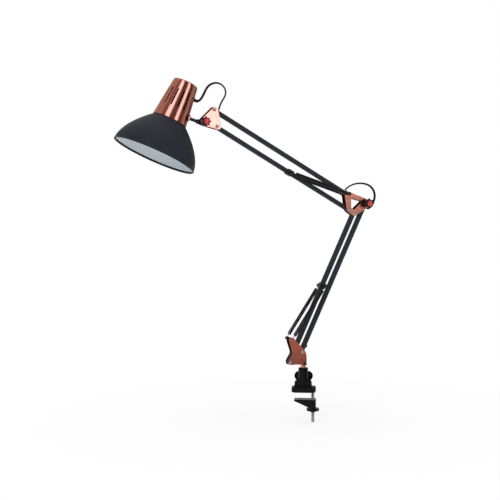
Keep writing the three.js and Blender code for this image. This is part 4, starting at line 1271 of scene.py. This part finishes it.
column_top = extent("clamp_casting", "z")[1]
casting_low, casting_high = span("clamp_casting", clamp)
foot_y = min(casting_high.y, FOOT_HALF_WIDTH)
foot_outline = slab(Vector((casting_low.x, -foot_y)), Vector((casting_high.x, foot_y)), 11, 10)
foot = moved(sheet_cut([foot_outline], FOOT_HEIGHT, 1.4), shift(z=FOOT_HEIGHT / 2))
web = moved(sheet_cut([eased([*WEB_LEFT, *WEB_RIGHT], closed=True)], 12, 1.0), TO_NEAR)
column = lathe([(COLUMN_RADIUS, 8), (COLUMN_RADIUS, column_top, 0.8)], 64)
rib = block((-1.6, 1.6), (-COLUMN_RADIUS - 1.4, -2), (8, column_top - 4))
lock_boss = moved(lathe([(5.8, 2), (5.8, casting_high.y, 0.6)]), lock_place)
screw_boss = moved(lathe([(6.4, 8), (6.2, FOOT_HEIGHT + 1.5, 0.8)]), shift(SCREW_AT - 1))
rear_boss = moved(lathe([(4.6, 8), (4.5, FOOT_HEIGHT + 1, 0.8)]), shift(1 - SCREW_AT))
casting = cast([foot, web, column, rib, lock_boss, screw_boss, rear_boss])
carved(
    casting,
    pin(POST_RADIUS + BORE_GAP, post_low - 0.5, column_top + 1, sides=48),
    pin(SCREW_RADIUS + BORE_GAP, 1, casting_high.y + 1, lock_place),
    pin(SCREW_RADIUS + BORE_GAP, -1, FOOT_HEIGHT, shift(SCREW_AT)),
)
placed(casting, "clamp_casting", clamp, "clamp", black_gloss, sharp=50)
print("casting faces:", len(casting.data.polygons))

# %% [markdown]
# The screw that draws the jaw up is a threaded steel rod with a pitch of one millimetre. Its
# radius is drawn as a wave that climbs one pitch a turn, which gives a true helical thread.

# %% Threaded rod
THREAD_PITCH = 1.0
THREAD_DEPTH = 0.32
THREAD_CHAMFER = 0.6
ROWS_PER_TURN = 6


def helix(share, z):
    return THREAD_DEPTH * abs(2 * ((z / THREAD_PITCH - share) % 1.0) - 1)


def threaded(radius, low, high):
    rows = round((high - low) / THREAD_PITCH * ROWS_PER_TURN)
    levels = []
    for row in range(rows + 1):
        z = low + (high - low) * row / rows
        chamfer = max(0.0, THREAD_CHAMFER - (z - low)) + max(0.0, THREAD_CHAMFER - (high - z))
        levels.append((radius - chamfer, z))
    return waved(levels, helix, 20)


screw_low, screw_high = extent("clamp_screw", "z")
screw_place = Matrix.Translation(clamp @ Vector((SCREW_AT * MM, 0, 0)))
placed(threaded(SCREW_RADIUS, screw_low, screw_high), "clamp_screw", screw_place, "clamp", zinc,
       sharp=40)
print("thread turns:", round((screw_high - screw_low) / THREAD_PITCH))

# %% [markdown]
# The jaw under the table is a plain wedge with broken edges, and a pale pad on it keeps it
# from marking the wood. The wheel below is a lobed nut on a tapered hub.

# %% Jaw, pad and wheel
jaw_low, jaw_high = span("lower_jaw", clamp)
pad_low, pad_high = span("jaw_pad", clamp)
jaw = moved(sheet_cut([eased([
    (jaw_low.x, jaw_high.z, 0.6), (jaw_low.x + 2.4, jaw_high.z - 1.4, 0.8),
    (jaw_high.x - 10.6, jaw_low.z, 1.5), (jaw_high.x, jaw_low.z, 1), (jaw_high.x, jaw_high.z, 0.6),
], closed=True)], jaw_high.y * 2, 1.0, rounds=3), TO_NEAR)
carved(jaw, pin(SCREW_RADIUS + BORE_GAP, jaw_low.z - 1, jaw_high.z + 1, shift(SCREW_AT)))
placed(jaw, "lower_jaw", clamp, "clamp_jaw", black_gloss, sharp=40)
pad_outlines = [slab(pad_low, pad_high, 1.5), ring(SCREW_RADIUS + 0.6, (SCREW_AT, 0))]
pad = moved(sheet_cut(pad_outlines, pad_high.z - pad_low.z, 0.35),
            shift(z=(pad_high.z + pad_low.z) / 2))
placed(pad, "jaw_pad", clamp, "clamp_jaw", pad_rubber)
# Only the pad's top face is pale rubber; its sides and underside take the black moulding, as
# painted shade.
pad.data.materials.append(black_plastic)
for face in pad.data.polygons:
    face.material_index = 0 if face.normal.z > 0.8 else 1

wheel_low, wheel_high = extent("clamp_wheel", "z")
wheel = star(12.2, 10, 1.0, wheel_high - 5.6, wheel_high, 0.9, 1.6)
hub = lathe([(4.6, wheel_low, 0.4), (7, wheel_high - 4.8, 0.3)])
carved(fused(wheel, hub), pin(SCREW_RADIUS + 0.2, wheel_low - 1, wheel_high + 1))
placed(wheel, "clamp_wheel", screw_place, "clamp_wheel", black_gloss, sharp=40)
print("jaw from", round(jaw_low.z, 1), "to", round(jaw_high.z, 1), "mm")

# %% [markdown]
# A wing screw through the column locks the post. Its two wings are round lobes, dished on both
# faces for finger and thumb.

# %% Wing screw
WING_RADIUS = 9.3
WING_RIM = 2.25
lock_low, lock_high = span("lock_screw", clamp)
wing_at = lock_high.x - WING_RADIUS
wing_middle = lock_high.y - 1.5 - WING_RIM
dish = WING_RIM - 1.2
lobe = [
    (6.2, -dish, 0.8), (7.6, -WING_RIM, 0.6), (WING_RADIUS, -WING_RIM, 1.0),
    (WING_RADIUS, WING_RIM, 1.0), (7.6, WING_RIM, 0.6), (6.2, dish, 0.8),
]
to_wing = lock_place @ shift(z=wing_middle)
wings = fused(
    moved(lathe([(5.4, -WING_RIM - 0.6, 0.5), (5.4, WING_RIM + 1.5, 1.0)]), to_wing),
    moved(lathe(lobe, 64), shift(wing_at) @ to_wing),
    moved(lathe(lobe, 64), shift(-wing_at) @ to_wing),
    pin(SCREW_RADIUS, lock_low.y, wing_middle, lock_place),
)
placed(wings, "lock_screw", clamp, "lock_screw", black_gloss, sharp=40)
print("wings reach, mm:", round(lock_high.x, 1))

# %% [markdown]
# ## Head
# The shade hangs on a short rod that turns in a knuckle between the head plates. The rod's own
# axis comes from its joint; the shade's axis leans back from it by the taper of the cap, which
# the rod meets square. The middle of the rim follows by measuring back: along the rod to the
# cap's skin, in to the shade's axis, and down it past the cap and the dome.
#
# The dome's shape is a power curve, from its radius at the rim and the peak it would rise to.

# %% The head's own axes
CAP_BASE_RADIUS = 32.7
CAP_TOP_RADIUS = 23.2
CAP_HEIGHT = 75.3
CAP_TAPER = math.atan((CAP_BASE_RADIUS - CAP_TOP_RADIUS) / CAP_HEIGHT)
RIM_RADIUS = 78.0
DOME_PEAK = 93.6
DOME_POWER = 1.75
SHELL_WALL = 1.0
KNUCKLE_REACH = 28.7
ROD_ABOVE_BASE = 19.4
rod_axis = Vector(joints["head_swivel"]["axis"])
rod_point = pivot("head_swivel")
rod_lean = math.atan2(-rod_axis.z, rod_axis.x)
shade_lean = rod_lean + CAP_TAPER
shade_up = Vector((math.sin(shade_lean), 0, math.cos(shade_lean)))
shade_side = Vector((math.cos(shade_lean), 0, -math.sin(shade_lean)))


def dome_height(radius):
    return DOME_PEAK * (1 - radius / RIM_RADIUS) ** (1 / DOME_POWER)


def cap_radius(height):
    return CAP_BASE_RADIUS - height * math.tan(CAP_TAPER)


CAP_BASE = dome_height(CAP_BASE_RADIUS - SHELL_WALL) + 0.3
rod_foot = rod_point - rod_axis * KNUCKLE_REACH * MM
rim_centre = rod_foot - (shade_side * cap_radius(ROD_ABOVE_BASE)
                         + shade_up * (CAP_BASE + ROD_ABOVE_BASE)) * MM
shade = stand(rim_centre, shade_lean)
print("shade leans", round(math.degrees(shade_lean), 2), "degrees; rim at",
      [round(x * 1000, 2) for x in rim_centre])

# %% [markdown]
# The dome is spun from thin sheet: full at the rim, straighter towards the cap, with its edge
# rolled into a bead. It is turned from a closed profile, so that it has a real wall, and the
# faces on the inside take a second finish, a pale enamel that throws the light back.

# %% Dome
DOME_MOUTH = CAP_BASE_RADIUS - 3.5
DOME_FOOT = 3.0
RIM_BEAD = 1.1
ARC_STEPS = 40


def dome_arc(inset, start, end):
    points = []
    for i in range(ARC_STEPS + 1):
        height = start + (end - start) * i / ARC_STEPS
        rise = height / DOME_PEAK
        slope = RIM_RADIUS * DOME_POWER / DOME_PEAK * rise ** (DOME_POWER - 1)
        normal = math.hypot(1, slope)
        points.append((RIM_RADIUS * (1 - rise ** DOME_POWER) - inset / normal,
                       height - inset * slope / normal))
    return points


dome_top = dome_height(DOME_MOUTH)
bead = [
    (RIM_RADIUS - SHELL_WALL / 2 + RIM_BEAD * math.cos(math.radians(angle)),
     RIM_BEAD * math.sin(math.radians(angle)))
    for angle in range(56, -237, -18)
]
outer_arc = dome_arc(0, dome_top, DOME_FOOT)
inner_arc = dome_arc(SHELL_WALL, DOME_FOOT, dome_top)
dome = turned(outer_arc + bead + inner_arc + outer_arc[:1], sides=128)
placed(dome, "shade_dome", shade, "head", slate, sharp=60)
dome.data.materials.append(shade_white)
for face in dome.data.polygons:
    centre = shade.inverted() @ face.center
    outward = shade.to_3x3() @ Vector((centre.x, centre.y, 0))
    if face.normal.dot(outward) < 0 and centre.z >= (DOME_FOOT + 0.6) * MM:
        face.material_index = 1
inside = sum(face.material_index for face in dome.data.polygons)
print("dome faces:", len(dome.data.polygons), "of them inside:", inside)

# %% [markdown]
# The cap is spun copper with thirteen ventilation slots punched through its wall, which keep
# the lampholder cool. They are spaced for fourteen, and the one behind the rod is left out.
# Cutting slots from a finished cone with a boolean leaves long thin faces that spoil a mirror
# finish, so the wall is laid out as rows and columns that part round each slot: every point
# lies exactly on the cone, and the polish stays even.

# %% The cap's skin
SLOT_PITCHES = 14
SLOT_TURN = math.radians(4)
SLOT_WIDTH = 3.0
SLOT_LENGTH = 34.0
SLOT_ABOVE_BASE = 22.4
CAP_EDGE = 2.2
COLUMNS = 7
CROWN = ((18.2, 0), (17.6, 0.12), (17.0, 0.5), (16.4, 0.62), (9, 0.62), (3, 0.62), (0, 0.62))


def evenly(start, end, count):
    return [start + (end - start) * i / count for i in range(count)]


def cap_rows():
    """(radius, height above the base, half the width of the slot there) from the base up."""
    half = SLOT_WIDTH / 2
    slot_top = SLOT_ABOVE_BASE + SLOT_LENGTH
    arc = [(1 - math.cos(a), math.sin(a)) for a in evenly(0, math.pi / 2, 6)]
    widths = [(h, 0) for h in evenly(0, SLOT_ABOVE_BASE, 10)]
    widths += [(SLOT_ABOVE_BASE + half * rise, half * wide) for rise, wide in arc]
    widths += [(h, half) for h in evenly(SLOT_ABOVE_BASE + half, slot_top - half, 12)]
    widths += [(slot_top - half * (1 - wide), half * (1 - rise)) for rise, wide in arc]
    widths += [(h, 0) for h in evenly(slot_top, CAP_HEIGHT - CAP_EDGE, 5)]
    rows = [(cap_radius(h), h, w) for h, w in widths]
    for angle in evenly(0, math.pi / 2, 6) + [math.pi / 2]:
        rows.append((cap_radius(CAP_HEIGHT) - CAP_EDGE * (1 - math.cos(angle)),
                     CAP_HEIGHT - CAP_EDGE * (1 - math.sin(angle)), 0))
    return rows + [(radius, CAP_HEIGHT - drop, 0) for radius, drop in CROWN]


def cap_skin():
    """Each slot's pitch is two halves, whose columns run from its border in to the slot."""
    builder = bmesh.new()
    half_pitch = math.pi / SLOT_PITCHES
    for slot in range(SLOT_PITCHES):
        middle = 2 * half_pitch * slot + SLOT_TURN
        for side in (-1, 1):
            grid = []
            for radius, height, half_width in cap_rows():
                gap = half_width / radius if slot and radius > 1 else 0
                angles = [middle + side * (half_pitch + (gap - half_pitch) * k / COLUMNS)
                          for k in range(COLUMNS + 1)]
                grid.append([(radius * math.cos(a), radius * math.sin(a), CAP_BASE + height)
                             for a in angles])
            skin(builder, grid, wrap=False, flip=side < 0)
    return drawn(builder)


# %% [markdown]
# The skin is thickened into sheet, its edges are broken, and it is bored for the rod and for
# the cord's gland.

# %% Cap
GLAND_ABOVE_ROD = 34.6


def aim(origin, direction):
    return Matrix.Translation(origin) @ direction.to_track_quat("Z", "Y").to_matrix().to_4x4()


def in_shade(place):
    """A place on the lamp as a matrix in the shade's own millimetres."""
    inner = shade.inverted() @ place
    inner.translation = inner.translation / MM
    return inner


wall_up = Vector((-rod_axis.z, 0, rod_axis.x))
gland_foot = rod_foot + wall_up * GLAND_ABOVE_ROD / math.cos(CAP_TAPER) * MM
rod_place = aim(rod_foot, rod_axis)
gland_place = aim(gland_foot, rod_axis)
cap = cap_skin()
modified(cap, "SOLIDIFY", thickness=SHELL_WALL, offset=-1, use_even_offset=True)
bake(cap)
modified(cap, "BEVEL", width=0.18, segments=2, limit_method="ANGLE", angle_limit=math.radians(60))
bake(cap)
carved(cap, pin(3.2, -8, 8, in_shade(rod_place)), pin(3.0, -5, 8, in_shade(gland_place)))
placed(cap, "shade_cap", shade, "head", copper, sharp=35)
print("cap faces:", len(cap.data.polygons))

# %% [markdown]
# A small copper boss backs the cap where the rod goes through it, and the cord comes out of
# a moulded gland above. The rod has a collar near its end, where it enters the knuckle.

# %% Boss, gland and rod
BOSS_BORE = 3.0
boss = turned(eased([
    (BOSS_BORE, -0.8), (7, -0.8), (7, 2.1, 0.8), (5.6, 3.0, 0.5), (BOSS_BORE, 3.0),
    (BOSS_BORE, -0.8),
]))
placed(boss, "rod_boss", rod_place, "head", copper)

gland = turned(eased([
    (0, -3), (2.9, -3), (2.9, -0.6), (4.9, -0.6), (4.9, 1.1, 0.6), (3.9, 1.9, 0.5),
    (2.9, 2.7, 0.6), (2.75, 4.6, 0.2), (3.0, 4.9, 0.1), (3.0, 5.5, 0.1), (2.7, 5.8, 0.1),
    (2.7, 6.4, 0.1), (2.95, 6.7, 0.1), (2.95, 7.2, 0.1), (2.7, 8.9, 0.5), (2.2, 8.9, 0.3), (0, 8.3),
]))
placed(gland, "cord_gland", gland_place, "head", black_plastic)

rod = lathe([
    (4.6, -KNUCKLE_REACH - 5, 0.3), (4.6, -KNUCKLE_REACH - 2.6, 0.3), (3, -KNUCKLE_REACH - 2.6),
    (3, -11.5), (4.3, -11.5, 0.5), (4.3, -6.9, 0.5), (2.4, -6.9), (2.4, -3.3),
])
placed(rod, "head_rod", aim(rod_point, rod_axis), "head", black_steel)
print("rod meets the cap at", [round(x * 1000, 1) for x in rod_foot])

# %% [markdown]
# The knuckle is a moulded barrel that the head's knob clamps between the plates, with a neck
# for the rod to turn in.

# %% Knuckle
half = PLATE_INNER - 0.15
barrel = moved(lathe([(5, -half, 0.4), (5, half, 0.4)]), TO_NEAR)
neck = moved(lathe([(4.4, -6.6, 0.6), (4.4, 1)]),
             shift(z=-(knuckle_at - rod_point).length / MM) @ ALONG_X)
knuckle = carved(fused(barrel, neck), pin(2.2, -half - 1, half + 1, TO_NEAR))
placed(knuckle, "knuckle", stand(knuckle_at, rod_lean), "knuckle", black_plastic, sharp=40)
print("knuckle between the plates, mm:", round(half * 2, 2))

# %% [markdown]
# ## Lampholder
# A moulded screw lampholder hangs from the cap's crown. A ring of ribs round it gives a grip.

# %% Lampholder
HOLDER_RADIUS = 19.5
HOLDER_LENGTH = 46.0
SOCKET_RADIUS = 14.2
SOCKET_DEPTH = 36.0
GRIP_RIBS = 24
holder_top = CAP_BASE + CAP_HEIGHT - SHELL_WALL - 0.3
shoulder = holder_top - 8
mouth = shoulder - HOLDER_LENGTH
holder = lathe([
    (7.5, holder_top, 0.4), (7.5, shoulder + 1, 0.8), (15.5, shoulder, 2),
    (HOLDER_RADIUS - 0.6, shoulder - 5, 1.5), (HOLDER_RADIUS - 0.6, shoulder - 16, 0.4),
    (HOLDER_RADIUS - 1.4, shoulder - 17, 0.4), (HOLDER_RADIUS - 1.4, mouth + 8, 0.4),
    (HOLDER_RADIUS, mouth + 7, 0.4), (HOLDER_RADIUS, mouth, 1.2), (SOCKET_RADIUS, mouth, 0.8),
    (SOCKET_RADIUS, mouth + SOCKET_DEPTH, 0.3),
], 96)
rib_size = (HOLDER_RADIUS - 2, HOLDER_RADIUS - 0.5), (-0.7, 0.7), (mouth + 9, shoulder - 18)
ribs = [moved(block(*rib_size), turn(360 / GRIP_RIBS * i, "Z")) for i in range(GRIP_RIBS)]
placed(fused(holder, joined(ribs)), "lampholder", shade, "head", black_plastic, sharp=40)
print("lampholder mouth above the rim, mm:", round(mouth, 1))

# %% [markdown]
# Inside are a brass shell and a sprung contact at the back. They sit deep in the dark of the
# holder, so the shell's thread is turned as plain ribs, with no helix.

# %% Shell and contact
SHELL_STEPS, STEPS_PER_RIB = 48, 8
shell_low, shell_high = mouth + 5, mouth + 26.6
wave = [
    (SOCKET_RADIUS - 0.3 - 0.5 * (1 - math.cos(math.tau * i / STEPS_PER_RIB)),
     shell_low + (shell_high - shell_low) * i / SHELL_STEPS)
    for i in range(SHELL_STEPS + 1)
]
shell = turned(wave + [(r - 0.5, z) for r, z in reversed(wave)] + wave[:1], 64)
placed(shell, "screw_shell", shade, "head", brass, sharp=60)
contact_top = mouth + SOCKET_DEPTH - 0.3
contact = lathe([
    (2.2, contact_top - 2.5, 0.6), (3.2, contact_top - 1.4, 0.5), (4.5, contact_top, 0.1),
], 40)
placed(contact, "centre_contact", shade, "head", brass)
print("shell ribs:", SHELL_STEPS // STEPS_PER_RIB)

# %% [markdown]
# ## Finish
# Every node of the model now has its dressed piece, and the nodes that are still shown are
# printed.

# %% Nodes still shown
print("nodes still shown:", [n for n, node in frame["nodes"].items() if not node.hide_render])
